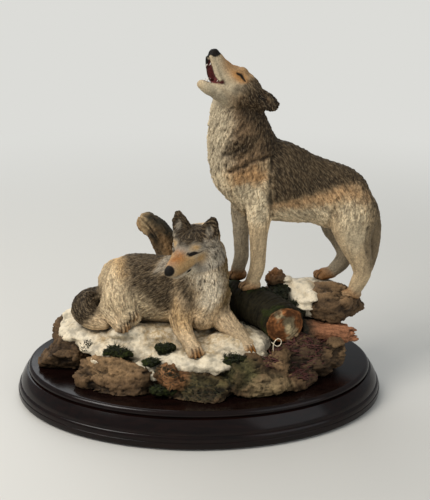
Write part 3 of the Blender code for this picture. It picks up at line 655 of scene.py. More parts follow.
class Nodes:
    """Short calls for a node tree."""

    def __init__(self, name):
        self.material = bpy.data.materials.new(name)
        self.material.use_nodes = True
        self.tree = self.material.node_tree
        self.shader = self.tree.nodes["Principled BSDF"]

    def add(self, kind, **settings):
        node = self.tree.nodes.new(kind)
        for key, value in settings.items():
            setattr(node, key, value)
        return node

    def set(self, socket, value):
        """Links a socket or sets a constant."""
        if isinstance(value, bpy.types.NodeSocket):
            self.tree.links.new(value, socket)
        elif socket.type == "RGBA":
            socket.default_value = (*value[:3], 1)
        else:
            socket.default_value = value

    def attribute(self, name):
        return self.add("ShaderNodeAttribute", attribute_name=name).outputs["Fac"]

    def stretched(self, spot, scale):
        made = self.add("ShaderNodeMapping")
        self.set(made.inputs["Vector"], spot)
        made.inputs["Scale"].default_value = scale
        return made.outputs["Vector"]

    def noise(self, scale, detail=3.0, roughness=0.6, stretch=None):
        spot = self.add("ShaderNodeTexCoord").outputs["Object"]
        if stretch:
            spot = self.stretched(spot, stretch)
        made = self.add("ShaderNodeTexNoise")
        self.set(made.inputs["Vector"], spot)
        made.inputs["Scale"].default_value = scale
        made.inputs["Detail"].default_value = detail
        made.inputs["Roughness"].default_value = roughness
        return made.outputs["Fac"]

    def strands(self, stretch):
        """Noise that runs along the fur's own coordinates."""
        spot = self.add("ShaderNodeAttribute", attribute_name="fur").outputs["Vector"]
        made = self.add("ShaderNodeTexNoise")
        self.set(made.inputs["Vector"], self.stretched(spot, stretch))
        made.inputs["Scale"].default_value = 1.0
        made.inputs["Detail"].default_value = 2.5
        made.inputs["Distortion"].default_value = 0.4
        return made.outputs["Fac"]

    def mix(self, share, first, second, blend="MIX"):
        made = self.add("ShaderNodeMix", data_type="RGBA", blend_type=blend)
        self.set(made.inputs["Factor"], share)
        self.set(made.inputs[6], first)
        self.set(made.inputs[7], second)
        return made.outputs[2]

    def ramp(self, value, stops):
        made = self.add("ShaderNodeValToRGB")
        self.set(made.inputs["Fac"], value)
        marks = made.color_ramp.elements
        while len(marks) < len(stops):
            marks.new(0.5)
        for mark, (spot, tone) in zip(marks, stops):
            mark.position = spot
            mark.color = (*tone, 1) if isinstance(tone, tuple) else (tone, tone, tone, 1)
        return made.outputs["Color"]

    def times(self, tone, value, stops):
        """The tone multiplied by a ramp of the value."""
        return self.mix(1.0, tone, self.ramp(value, stops), "MULTIPLY")

    def occlusion_shade(self):
        """1 in the open and lower in a hollow, used as painted shade in the hollows."""
        made = self.add("ShaderNodeAmbientOcclusion", samples=6)
        made.inputs["Distance"].default_value = 0.006
        return made.outputs["AO"]

    def maths(self, kind, first, second=0.5):
        made = self.add("ShaderNodeMath", operation=kind)
        self.set(made.inputs[0], first)
        self.set(made.inputs[1], second)
        return made.outputs[0]

    def bump(self, height, strength, distance):
        made = self.add("ShaderNodeBump")
        self.set(made.inputs["Height"], height)
        made.inputs["Strength"].default_value = strength
        made.inputs["Distance"].default_value = distance
        self.set(self.shader.inputs["Normal"], made.outputs["Normal"])

    def surface(self, base, roughness, specular=0.5):
        self.set(self.shader.inputs["Base Color"], base)
        self.set(self.shader.inputs["Roughness"], roughness)
        self.shader.inputs["Specular IOR Level"].default_value = specular
        return self.material


def painted(name, ground, pigments, wash_dark=0.42, wash_light=1.28, grain=900, roughness=0.62,
            fur=False):
    """Hand-painted resin: coats over a ground, a dark wash in the hollows, dry-brushed ridges, painted
    shade in the hollows and painted shade where the shade coat lies.
    """
    nodes = Nodes(name)
    tone = ground
    for coat, pigment in pigments:
        tone = nodes.mix(nodes.attribute(coat), tone, pigment)
    speck = nodes.noise(grain, 4.0, 0.65)
    tone = nodes.times(tone, speck, ((0.3, 0.6), (0.5, 1.0), (0.72, 1.3)))
    tone = nodes.times(tone, nodes.noise(grain / 14, 2.0, 0.5), ((0.3, 0.82), (0.7, 1.14)))
    tone = nodes.times(tone, nodes.attribute("wash"), ((0.0, wash_dark), (0.5, 0.95), (1.0, wash_light)))
    if fur:
        hair = nodes.strands((0.4, 1.25, 1.0))
        shading = nodes.ramp(hair, ((0.34, (0.64, 0.56, 0.48)), (0.47, (0.96, 0.94, 0.92)),
                                    (0.64, (1.34, 1.3, 1.22))))
        sleek = nodes.maths("MULTIPLY", nodes.attribute("sleek"), 0.88)
        tone = nodes.mix(1.0, tone, nodes.mix(sleek, shading, (0.95, 0.93, 0.9)), "MULTIPLY")
        tips = nodes.ramp(hair, ((0.5, 0.0), (0.64, 0.42)))
        glint = nodes.maths("MULTIPLY", tips, nodes.attribute("dark"))
        tone = nodes.mix(glint, tone, (0.3, 0.22, 0.13))
        nodes.bump(hair, 0.6, 0.0006)
    else:
        nodes.bump(nodes.noise(grain * 1.6, 3.0, 0.7), 0.35, 0.0003)
    # Painted shade: darker where nearby surfaces hem the point in
    tone = nodes.times(tone, nodes.occlusion_shade(), ((0.25, 0.3), (0.8, 1.0)))
    # Painted shade: near black where the shade coat lies, in creases, seams and gaps
    tone = nodes.mix(nodes.attribute("shade"), tone, (0.012, 0.008, 0.006))
    gloss = nodes.ramp(speck, ((0.3, roughness - 0.08), (0.7, roughness + 0.12)))
    return nodes.surface(tone, gloss, 0.16)


def pigments_for(settings, coats):
    """Each coat with the colour that the settings give it."""
    return [(coat, tuple(getattr(settings, coat))) for coat in coats]


def fur_finish(name, settings):
    """The wolves' paint: one pigment for each coat."""
    pigments = pigments_for(settings, ("cream", "tan", "olive", "grey", "dark", "ochre", "orange",
                                       "white", "maroon", "black"))
    return painted(name, tuple(settings.ground), pigments, 0.58, 1.22, fur=True)


# Wolves

def settle(height):
    """Groove depth as a wash from 0 in the hollows to 1 on the ridges."""
    spread = np.percentile(np.abs(height), 90)
    return np.clip(0.5 + height / (2 * max(spread, 1e-6)), 0, 1)


def lay_patches(skin, patches, seed, ragged=5.4, tests=10):
    """Paints outlines seen from the side, their edges broken up by noise."""
    spots = []
    for k in range(tests):
        shift = [ragged * rough_noise(skin.points, 3.4, seed + 4 * k + axis, 2) for axis in (0, 2)]
        drop = (k / (tests - 1) - 0.5) * ragged
        spots.append((skin.points[:, 0] + shift[0] + drop, skin.points[:, 2] + shift[1] + drop))
    for pigment, strength, outline in patches:
        outline = np.array(outline, float)
        skin.coat(pigment, sum(inside(outline, x, z) for x, z in spots) / tests * strength)


def lay_coats(skin, coats, seed):
    """Paints the coats with edges broken up by noise."""
    ragged = skin.points.copy()
    for axis in range(3):
        ragged[:, axis] += 2.6 * rough_noise(skin.points, 7.0, seed + axis * 5)
    for pigment, centre, radii, strength in coats:
        skin.coat(pigment, covers(ragged, centre, radii, 0.45) * strength)


def lay_dabs(skin, spots, dabs):
    for pigment, centre, radii, edge, strength in dabs:
        skin.coat(pigment, covers(spots, centre, radii, edge) * strength)


def cut_seams(skin, seams, where):
    """Grooves along the parted fur, with a lip over each and painted shadow within."""
    flat = skin.points[:, (0, 2)]
    for depth, width, path in seams:
        shift = 0.9 * np.column_stack([lattice_noise(skin.points, 4, seed) for seed in (5, 6)])
        wander = flat + shift
        away = to_path(wander, path)
        groove = np.clip(1 - away / width, 0, 1) * where
        lip = np.clip(1 - np.abs(away - width * 1.6) / width, 0, 1) * where
        skin.raise_by(0.6 * depth * lip - depth * groove)
        # Painted shadow in the groove, deeper for a deeper seam
        dark = np.clip(0.55 * depth + 0.8 * rough_noise(skin.points, 3, 9), 0, 0.9)
        skin.coat("shade", groove * dark)


def paint_paws(skin, paws, toes):
    """Ochre paws with painted shade in the lines between the toes."""
    for centre, radii in paws:
        skin.coat("ochre", covers(skin.points, centre, radii, 0.7) * 1.3)
    lines = np.full(len(skin.points), FAR)
    for tip, toward in toes:
        toward = np.array(Vector(toward).normalized())
        sidewise = np.array(Vector((-toward[1], toward[0], 0)).normalized())
        away = skin.points - np.array(tip, float)
        ahead, aside = away @ toward, np.abs(away @ sidewise)
        there = (ahead > -5.5) & (aside < 5.4) & (np.abs(away[:, 2]) < 4.6) & (ahead < 5)
        lines = np.minimum(lines, np.where(there, np.minimum(aside, np.abs(aside - 2.9)), FAR))
    skin.raise_by(-0.8 * np.clip(1 - lines / 0.9, 0, 1))
    # Painted shade in the creases between the toes
    skin.coat("shade", np.clip(1.3 - lines / 0.6, 0, 1) * 0.8)


def add_fangs(bm, head, teeth):
    """Small cones: behind, left, over at the root, length upward, girth."""
    for behind, left, over, length, girth in teeth:
        root, tip = head.at(behind, left, over), head.at(behind, left * 0.94, over + length)
        cone = bmesh.ops.create_cone(bm, cap_ends=True, segments=8, radius1=girth, radius2=0.12,
                                     depth=(tip - root).length)["verts"]
        turn = (tip - root).to_track_quat("Z", "Y").to_matrix().to_4x4()
        bmesh.ops.transform(bm, matrix=Matrix.Translation((root + tip) / 2) @ turn, verts=cone)


def howler_teeth(settings):
    """Fangs and small teeth of both jaws."""
    bm = bmesh.new()
    rows = []
    for side in (1, -1):
        rows += [(-2.6, 3.1 * side, -11, -3.6, 0.8), (-7.6, 2.7 * side, -25, 3.8, 0.85)]
        rows += [(-5.6 - 2.6 * k, (3.7 + 0.3 * k) * side, -12.6 - 1.9 * k, -1.9, 0.6) for k in range(4)]
        rows += [(-10.2 - 1.7 * k, (3.2 + 0.4 * k) * side, -24.4 + 0.7 * k, 1.6, 0.5) for k in range(3)]
    add_fangs(bm, HOWLER_HEAD, rows)
    finish_blades("howler_teeth", bm, plain_grain("tooth_paint", tuple(settings.white), 0.1))


def fur_height(skin, limbs, ruff, soft, seed):
    """Locks on the ruff, shorter tufts elsewhere and strands over all."""
    flow, along, around, nearest = skin.comb(limbs)
    warp = rough_noise(skin.points, 8.0, seed)
    coarse = locks(along, around, 8.0, 3.0, seed + 1, warp=warp)
    medium = locks(along, around, 4.6, 1.7, seed + 2, warp=warp)
    strand = combed_noise(skin.points, flow, 1.1, 3.0, seed + 3)
    fine = combed_noise(skin.points, flow, 0.8, 1.8, seed + 4)
    skin.coat("sleek", np.clip(1.5 - 1.5 * soft, 0, 1))
    height = (1.2 * ruff * coarse + 0.5 * (1 - ruff) * soft * medium
              + (0.34 + 0.2 * ruff) * soft * strand + 0.2 * soft * fine)
    return height, nearest


def lay_fur(skin, limbs, ruff, soft, seed, deepest):
    """Raises and washes the fur, with shade between the ruff's locks; returns each nearest limb."""
    height, nearest = fur_height(skin, limbs, ruff, soft, seed)
    skin.raise_by(height)
    skin.coats["wash"] = settle(height / np.maximum(0.25, 0.3 + ruff))
    gaps = np.clip((0.36 - skin.coats["wash"]) * 3, 0, deepest)
    skin.coat("shade", np.clip(ruff * 1.4, 0, 1) * gaps)
    return nearest


def howler_skin():
    """The howling wolf in its fur, and which points are on its head."""
    bm = bmesh.new()
    for stations in HOWLER_LOFTS.values():
        add_loft(bm, stations)
    for tip in HOWLER_TOES:
        add_toes(bm, tip, HOWLER_STEP)
    add_head(bm, HOWLER_HEAD, HOWLER_SKULL, HOWLER_JAW, HOWLER_EARS, HOWLER_FACE)
    add_loft(bm, HOWLER_HEAD.centre_rows(HOWLER_TONGUE), HOWLER_HEAD.left)
    for sign in (1, -1):
        add_loft(bm, HOWLER_HEAD.side_rows(HOWLER_LIP, sign), HOWLER_HEAD.left)
    skin = Sculpt(largest_shell(fused(bm, HOWLER_GRID, 2)))
    head = HOWLER_HEAD.measure(skin.points)
    skin.refine((head[:, 0] > -48) & (skin.points[:, 2] > 196))
    head = HOWLER_HEAD.measure(skin.points)
    leans = {"torso": 0.7, "neck": 0.55, "tail": 0.2}
    limbs = [Limb(stations, lean=leans.get(name, 0.12)) for name, stations in HOWLER_LOFTS.items()]
    limbs.append(Limb(HOWLER_HEAD.centre_rows(HOWLER_SKULL[::-1]), HOWLER_HEAD.left, -0.25))
    bare = np.clip((head[:, 0] + 36) / 10, 0, 1) * (skin.points[:, 2] > 195)
    leg = np.clip((112 - skin.points[:, 2]) / 16, 0, 1)
    ruff = covers(skin.points, (26, 17, 166), (30, 26, 44), 0.5)
    ruff = np.maximum(ruff, covers(skin.points, (44, 18, 178), (16, 24, 30), 0.5) * 0.7)
    nearest = lay_fur(skin, limbs, ruff, (1 - leg * 0.65) * (1 - bare * 0.88), 3, 0.75)
    cut_seams(skin, HOWLER_SEAMS, (np.abs(skin.points[:, 1] - HOWLER_MIDDLE) > 6) * 1.0)
    return skin, nearest == len(limbs) - 1


def howling_wolf(settings):
    skin, on_head = howler_skin()
    head = HOWLER_HEAD.measure(skin.points)
    both = mirrored(head)
    behind, left, over = head.T
    upward = skin.normals @ np.array(HOWLER_HEAD.up)
    palate = covers(head, (-9, 0, -14), (11, 4.2, 8), 0.5) * np.clip(-upward * 2, 0, 1)
    skin.push(HOWLER_HEAD.up, 3.4 * palate)
    skin.coat("maroon", palate * 2)
    inward = -np.sign(left) * (skin.normals @ np.array(HOWLER_HEAD.left))
    skin.coat("maroon", covers(head, (-9, 0, -15), (12, 8, 8), 0.2) * np.clip(inward * 4, 0, 1))
    throat = np.clip(1.6 - np.abs(left) / 5.2, 0, 1) * 1.5
    skin.coat("maroon", covers(head, (-15, 0, -19), (8.5, 6.4, 7), 0.25) * throat)
    tongue = np.clip(upward * 3, 0, 1)
    skin.coat("maroon", covers(head, (-8, 0, -24.6), (6.5, 4.4, 2.4), 0.5) * tongue)

    side = np.clip((np.abs(left) - 6) / 1.5, 0, 1) * on_head
    plane = np.column_stack([behind, over])
    slit = to_path(plane, ((-20.8, -6.6), (-23, -6), (-27.4, -7.8)))
    lid = to_path(plane, ((-20.4, -3.6), (-24, -2.6), (-29, -4.6)))
    skin.raise_by((0.5 * np.clip(1 - lid / 1.6, 0, 1) - 0.8 * np.clip(1 - slit / 1.4, 0, 1)) * side)

    lay_patches(skin, HOWLER_PATCHES, 41)
    skin.coat("grey", (skin.points[:, 1] > 23) * np.clip((118 - skin.points[:, 2]) / 8, 0, 1) * 0.85)
    face = covers(head, (-22, 0, -8), (26, 22, 18), 0.3)
    for pigment in ("olive", "dark", "cream"):
        skin.thin(pigment, face)
    skin.coat("cream", face * np.clip((-over - 9 + 0.28 * behind + 8) / 4, 0, 1))
    lay_dabs(skin, both, HOWLER_DABS)
    rough = behind + 2.0 * rough_noise(skin.points, 5, 8)
    crown = np.clip((-27 - rough - 0.35 * (over + 6)) / 4, 0, 1) * np.clip((over + 22) / 6, 0, 1)
    skin.coat("dark", crown * on_head * 0.85)
    inner = covers(both, (-49, 16, -7), (6.5, 4.5, 5), 0.6)
    skin.thin("dark", inner * np.clip(0.35 + rough_noise(skin.points, 1.6, 77), 0, 0.8))
    skin.coat("black", covers(head, (-1.5, -3.4, -9.6), (5, 3.6, 4.6), 0.4))
    skin.coat("black", np.clip(1.4 - lip_line(both, HOWLER_LIP, 1.2) / 0.8, 0, 1) * 0.8)
    thick = np.interp(behind, (-27, -24, -21), (0.6, 1.3, 1.0))
    skin.coat("black", np.clip(1.5 - slit / thick, 0, 1) * side)
    skin.coat("cream", np.clip(1.2 - lid / 1.3, 0, 1) * side * 0.9)
    paint_paws(skin, HOWLER_PAWS, [(tip, HOWLER_STEP) for tip in HOWLER_TOES])
    skin.finish("howling_wolf", fur_finish("howling_wolf_paint", settings))
    howler_teeth(settings)


def mirrored(head):
    """Head coordinates with both sides laid over each other."""
    return np.column_stack([head[:, 0], np.abs(head[:, 1]), head[:, 2]])


def lip_line(both, rows, drop):
    """Distance to the lips' lower edge on either side."""
    return to_path(both, [(back, left, over - deep * drop) for back, left, over, _, deep in rows])


def lying_skin():
    """The lying wolf in its fur."""
    bm = bmesh.new()
    for name, stations in LYING_LOFTS.items():
        add_loft(bm, stations, ACROSS if name in ("torso", "neck") else level_across(stations))
    for tip, toward in LYING_TOES:
        add_toes(bm, tip, toward)
    add_head(bm, LYING_HEAD, LYING_SKULL, LYING_JAW, LYING_EARS, LYING_FACE)
    skin = Sculpt(largest_shell(fused(bm, LYING_GRID, 2)))
    head = LYING_HEAD.measure(skin.points)
    skin.refine((head[:, 0] > -46) & (skin.points[:, 2] > 68) & (np.abs(head[:, 1]) < 24))
    head = LYING_HEAD.measure(skin.points)
    limbs = [Limb(LYING_LOFTS["neck"]), Limb(LYING_LOFTS["torso"], lean=-0.6)]
    limbs += [Limb(stations, level_across(stations))
              for name, stations in LYING_LOFTS.items() if name not in ("torso", "neck")]
    limbs.append(Limb(LYING_HEAD.centre_rows(LYING_SKULL[::-1]), LYING_HEAD.left, -0.2))
    behind, left, over = head.T
    bare = np.clip((behind + 36) / 10, 0, 1) * np.clip((17 - np.abs(left)) / 4, 0, 1)
    bare = bare * np.clip((over + 20) / 4, 0, 1)
    leg = np.clip((40 - skin.points[:, 2]) / 10, 0, 1)
    ruff = covers(skin.points, (6, -8, 68), (24, 26, 32), 0.5) * (1 - bare)
    cheek = covers(mirrored(head), (-36, 19, -12), (11, 8, 13), 0.6)
    ruff = np.maximum(ruff, cheek * 0.8)
    lay_fur(skin, limbs, ruff, (1 - leg * 0.6) * (1 - bare * 0.9), 15, 0.7)
    cut_seams(skin, LYING_SEAMS, (skin.points[:, 1] < 0) * (behind < -46) * 1.0)
    return skin


def lying_wolf(settings):
    skin = lying_skin()
    lay_patches(skin, LYING_PATCHES, 71)
    head = LYING_HEAD.measure(skin.points)
    both = mirrored(head)
    behind, aside, over = both.T
    face = np.clip((behind + 50) / 4, 0, 1) * np.clip((24 - aside) / 3, 0, 1)
    face = face * np.clip((over + 19) / 3, 0, 1)
    for pigment in ("olive", "dark", "cream", "white", "tan"):
        skin.thin(pigment, face)
    skin.push(LYING_HEAD.ahead, -1.2 * covers(both, (-22, 8.4, -0.6), (5, 4.4, 3.4), 1))
    cup = covers(both, (-38, 13.6, 10.5), (5.5, 5.6, 8), 1) * (behind > -42.5)
    skin.push(LYING_HEAD.ahead, -2.2 * cup)

    broken = over + 1.4 * rough_noise(skin.points, 4, 3)
    skin.coat("grey", face)
    skin.coat("dark", face * np.clip((broken - 2.6) / 3, 0, 1) * np.clip((-behind - 18) / 5, 0, 1))
    lay_dabs(skin, both, LYING_MARKS)
    muzzle = covers(head, (-16, 0, -5), (21, 15, 8.4), 0.4)
    mottle = rough_noise(skin.points, 3, 51)
    brow = np.maximum(covers(both, (-25, 8.6, 3), (8, 6.4, 4.4), 0.9) * (0.9 + 0.5 * mottle),
                      covers(both, (-26, 11, -6), (11, 7, 8), 0.9))
    bald = np.clip(np.maximum(muzzle, brow), 0, 1)
    for pigment in ("grey", "white", "dark"):
        skin.thin(pigment, bald)
    skin.coat("tan", bald)
    skin.coat("orange", covers(head, (-13, 0, -0.4), (15, 9.5, 7), 0.8) * (0.75 + 0.5 * mottle))
    lay_dabs(skin, both, LYING_DABS)
    inner = covers(both, (-38, 13.4, 9.6), (4.5, 4, 6.4), 0.6)
    skin.thin("dark", inner * 0.55)
    skin.coat("tan", inner * 0.5)

    slant = over + 0.2 + 0.36 * (aside - 8.4)
    eye = np.hypot((aside - 8.4) / 2.1, slant / 1.1)
    rim = (behind > -32) * (behind < -10)
    skin.coat("black", np.clip((1.15 - eye) / 0.3, 0, 1) * rim)
    front = np.column_stack([aside, over])
    corner = to_path(front, ((5.6, 1.2), (6.6, 0.6)))
    skin.coat("black", np.clip(1.2 - corner / 0.6, 0, 1) * rim)
    corner = to_path(front, ((10.4, -1.1), (12, -1.3)))
    skin.coat("shade", np.clip(1 - corner / 0.7, 0, 1) * rim)
    lip = to_path(both, ((-3, 2.5, -8.8), (-8, 5.2, -10), (-13, 6.6, -10.6), (-18, 8.4, -9.6)))
    skin.raise_by(-0.6 * np.clip(1 - lip / 1.0, 0, 1))
    skin.coat("shade", np.clip(1.3 - lip / 0.7, 0, 1))
    corner = to_path(both, ((-15, 7.4, -10.4), (-19, 8.8, -9)))
    skin.coat("black", np.clip(1.3 - corner / 0.7, 0, 1))
    paint_paws(skin, LYING_PAWS, LYING_TOES)
    skin.finish("lying_wolf", fur_finish("lying_wolf_paint", settings))


# Ground, timber and snow

# Rocks: centre, radii, turn about +Z in degrees
ROCKS = (
    (-30, 2, 4, 76, 44, 23, 0), (40, 12, 8, 62, 42, 32, 5), (0, 36, 14, 66, 24, 30, 0),
    (-96, -8, 6, 27, 24, 19, 20), (-88, 16, 9, 28, 25, 23, -15), (-56, -46, 8, 36, 19, 16, -8),
    (-78, -40, 3, 17, 13, 11, 10), (-18, -55, 10, 14, 12, 11, 0), (4, -57, 4, 30, 16, 15, -4),
    (32, -50, 9, 22, 18, 17, 8), (46, -54, 3, 22, 16, 13, 0), (58, -41, 13, 15, 13, 14, 30),
    (80, -26, 12, 22, 20, 17, 20), (99, -26, 15, 12, 12, 14, 0), (68, -43, 3, 19, 14, 12, 8),
    (102, 12, 40, 30, 22, 16, -12), (94, 14, 20, 24, 24, 24, 0), (60, 20, 56, 10, 9, 9, 20),
    (96, 30, 38, 22, 15, 17, 10), (30, 28, 38, 20, 15, 16, 0), (72, 24, 36, 22, 16, 20, 0),
)
# Mossy bank that the howling wolf's forefeet stand on
BANK = ((44, 12, 42, 20, 12, 10, 0), (62, 10, 46, 13, 10, 10, 20), (70, 0, 38, 12, 8, 10, 0))
# Drifts under the snow's skin
DRIFTS = (
    (-44, -13, 19, 50, 26, 9, -4), (4, -32, 17, 44, 24, 8, 6), (-74, 0, 22, 32, 24, 9, 0),
    (30, -18, 22, 26, 18, 8, 0), (-32, -13, 25, 30, 15, 8, 0),
    (-50, -20, 30, 17, 10, 7, 0), (40, -31, 14, 13, 10, 8, 0),
)
UPPER_DRIFTS = ((78, 17, 44, 17, 14, 14, -20), (86, 4, 38, 12, 9, 6, -10), (88, 29, 48, 20, 10, 5, 0))
LOG = ((63.6, -25, 38.6, 14.2, 13.6), (61.5, -18, 38.8, 14.6, 13.8), (54, -7, 39.5, 14.4, 13.4),
       (42, 5, 41.5, 13.8, 13.2), (26, 16, 43, 12.5, 12.5), (12, 22, 43, 11, 11))
LOOP = ((54, -41, 15, 0.32, 0.32), (55.6, -40.5, 21, 0.32, 0.32), (54.6, -40, 26, 0.32, 0.32),
        (55, -40, 31, 0.32, 0.32), (57.6, -40, 34.4, 0.32, 0.32), (60.2, -40, 33, 0.32, 0.32),
        (59.6, -40, 29.6, 0.32, 0.32), (57, -40, 28.4, 0.32, 0.32), (53.4, -40.4, 31.6, 0.32, 0.32))
BRANCH = ((78, -8, 25, 9.4, 9), (88, -8, 24.4, 9, 8.4), (100, -7.5, 23.6, 8, 7.4), (112, -7, 23, 7, 6.2))
STUMP = ((-10, 28, 30, 17, 15), (-13, 30, 46, 14, 13), (-18, 31, 60, 11.5, 12),
         (-22.3, 32, 71, 10.5, 10), (-26, 32, 81, 9.8, 9.4), (-32, 32, 91.5, 9.2, 8.6),
         (-39.5, 32, 98.2, 7.6, 7.6))

# Dark bark left on the stump and the branch, seen from the side
STUMP_PATCHES = (("dark", 1.0, ((-42, 114), (-29, 107), (-14, 98), (-4, 60), (-16, 60), (-18, 79),
                                (-23, 87), (-31, 94.4), (-40.4, 101.6))),
                 ("dark", 1.0, ((-40, 96), (-31, 95), (-30, 86), (-26, 70), (-31, 70), (-35, 81),
                                (-39, 90))),
                 ("pale", 0.4, ((-46, 106), (-38, 106), (-36, 96), (-42, 90))))
BRANCH_PATCHES = (("dark", 1.0, ((66, 40), (84, 38), (87, 28), (85, 12), (66, 12))),)

# Snow outlines, x and y, and the thickness of the sheet
NEAR_SNOW = ((-105, -6), (-97, -12), (-90, -15), (-77, -33), (-68, -45), (-61, -28), (-50, -27),
             (-45, -43), (-38, -52), (-31, -52), (-30, -44), (-20, -42), (-14, -49), (-2, -53),
             (9, -53), (17, -54), (22, -47), (20, -39), (33, -42), (43, -36), (48, -20), (40, -2),
             (20, 4), (-20, 16), (-60, 22), (-88, 30), (-102, 18))
UPPER_SNOW = ((66, 6), (74, 1), (80, -4), (87, -4), (85, 5), (77, 12), (80, 22), (98, 32), (92, 38),
              (74, 32), (64, 20))

# Paint on the rocks: pigment, centre, radii, strength
ROCK_COATS = (
    ("tan", (-60, -46, 18), (38, 22, 14), 0.9), ("orange", (-18, -58, 12), (15, 14, 13), 1.0),
    ("green", (31, -52, 12), (20, 18, 16), 0.8), ("green", (2, -64, 8), (28, 14, 12), 0.6),
    ("dark", (10, -62, 2), (26, 14, 9), 0.6),
    ("tan", (58, -40, 14), (16, 15, 16), 0.8), ("cream", (48, -58, 6), (24, 14, 12), 0.7),
    ("dark", (-98, -10, 6), (22, 24, 8), 0.6), ("dark", (80, -34, 10), (30, 20, 18), 0.7),
    ("orange", (58, 22, 60), (11, 11, 10), 0.8), ("tan", (104, 6, 54), (30, 22, 8), 0.5),
    ("green", (30, 0, 52), (24, 24, 14), 0.9), ("dark", (40, 30, 44), (30, 22, 18), 0.6),
    ("tan", (99, -28, 18), (12, 12, 13), 0.5),
)


def add_boulder(bm, rock, seed, facets=10, rise=0.56, detail=5):
    """A stone: a ball flattened by random planes, then stretched and turned."""
    x, y, z, rx, ry, rz, turn = rock
    chance = np.random.default_rng(seed)
    ball = bmesh.ops.create_icosphere(bm, subdivisions=detail, radius=1)["verts"]
    spots = np.array([vert.co for vert in ball])
    for _ in range(facets):
        normal = chance.normal(size=3)
        normal /= np.linalg.norm(normal)
        over = spots @ normal - (rise + 0.28 * chance.random())
        spots -= np.clip(over, 0, None)[:, None] * normal
    for vert, spot in zip(ball, spots):
        vert.co = spot
    place = (Matrix.Translation((x, y, z)) @ Matrix.Rotation(math.radians(turn), 4, "Z")
             @ Matrix.Diagonal((rx, ry, rz, 1)))
    bmesh.ops.transform(bm, matrix=place, verts=ball)


def add_drift(bm, drift, i):
    """A rounder ball for the snow to lie on."""
    add_boulder(bm, drift, seed=60 + i, facets=6, rise=0.82)


def weather(points, seed):
    """Height of broken stone: plates, ledges, pits and grain."""
    bent = points + 1.5 * np.column_stack([rough_noise(points, 5, seed + k) for k in range(3)])
    plates = shards(bent * (0.7, 0.8, 1.5), 9, seed)
    chips = shards(bent * (0.8, 0.8, 1.3), 3.6, seed + 7)
    ledge_at = points[:, 2] * 0.36 + 1.6 * lattice_noise(points, 16, seed + 11)
    ledge = ledge_at - np.floor(ledge_at) - 0.5
    pits = np.clip(lattice_noise(points, 1.9, seed + 17) - 0.4, 0, 1)
    grain = rough_noise(points, 1.3, seed + 23)
    return 1.7 * plates + 0.9 * chips + 0.8 * ledge - 2.0 * pits + 0.4 * grain


def cut_level(skin, low=0.15):
    """Presses what lies under the seat up to it."""
    skin.points[:, 2] = np.maximum(skin.points[:, 2], low)
    skin.write()


def mossy_bank(settings):
    bm = bmesh.new()
    for i, rock in enumerate(BANK):
        add_boulder(bm, rock, seed=40 + i)
    skin = Sculpt(fused(bm, BANK_GRID, 1))
    height = 0.8 * shards(skin.points, 4, 9) + 1.5 * rough_noise(skin.points, 2.6, 12)
    skin.raise_by(height)
    skin.coats["wash"] = settle(height)
    skin.coat("leaf", np.clip(rough_noise(skin.points, 6, 61) * 2.5, 0, 1))
    leaf = (("leaf", tuple(settings.moss)),)
    finish = painted("bank_paint", tuple(settings.bark), leaf, 0.3, 1.6, 900, 0.75)
    return skin.finish("mossy_bank", finish)


def stone_outcrop(settings):
    bm = bmesh.new()
    for i, rock in enumerate(ROCKS):
        add_boulder(bm, rock, seed=10 + i)
    for i, (x, y, z, wide, deep, high, turn) in enumerate(DRIFTS):
        add_drift(bm, (x, y, z - 2, wide - 3, deep - 3, high, turn), i)
    skin = Sculpt(largest_shell(fused(bm, STONE_GRID, 1)))
    height = weather(skin.points, 3)
    skin.raise_by(height)
    skin.coats["wash"] = settle(height)
    lay_coats(skin, ROCK_COATS, 91)
    cut_level(skin)
    pigments = pigments_for(settings, ("tan", "cream", "green", "orange", "dark"))
    finish = painted("stone_paint", tuple(settings.stone), pigments, 0.26, 1.45, 700, 0.68)
    return skin.finish("stone_outcrop", finish)


def inside(outline, x, y):
    """Even-odd test of many points against a closed outline."""
    hit = np.zeros(len(x), bool)
    ends = np.roll(outline, -1, axis=0)
    for (ax, ay), (bx, by) in zip(outline, ends):
        if ay == by:
            continue
        crosses = ((ay > y) != (by > y)) & (x < (bx - ax) * (y - ay) / (by - ay) + ax)
        hit ^= crosses
    return hit


def ground_under(*pieces):
    """A function that gives the height of finished pieces, in millimetres over the seat."""
    trees = []
    for piece in pieces:
        bm = bmesh.new()
        bm.from_mesh(piece.data)
        trees.append(BVHTree.FromBMesh(bm))
        bm.free()

    def height(x, y):
        spots = [tree.ray_cast(Vector((x * MM, y * MM, 1)), Vector((0, 0, -1)))[0] for tree in trees]
        return max([0] + [(spot.z - SEAT) / MM for spot in spots if spot])
    return height


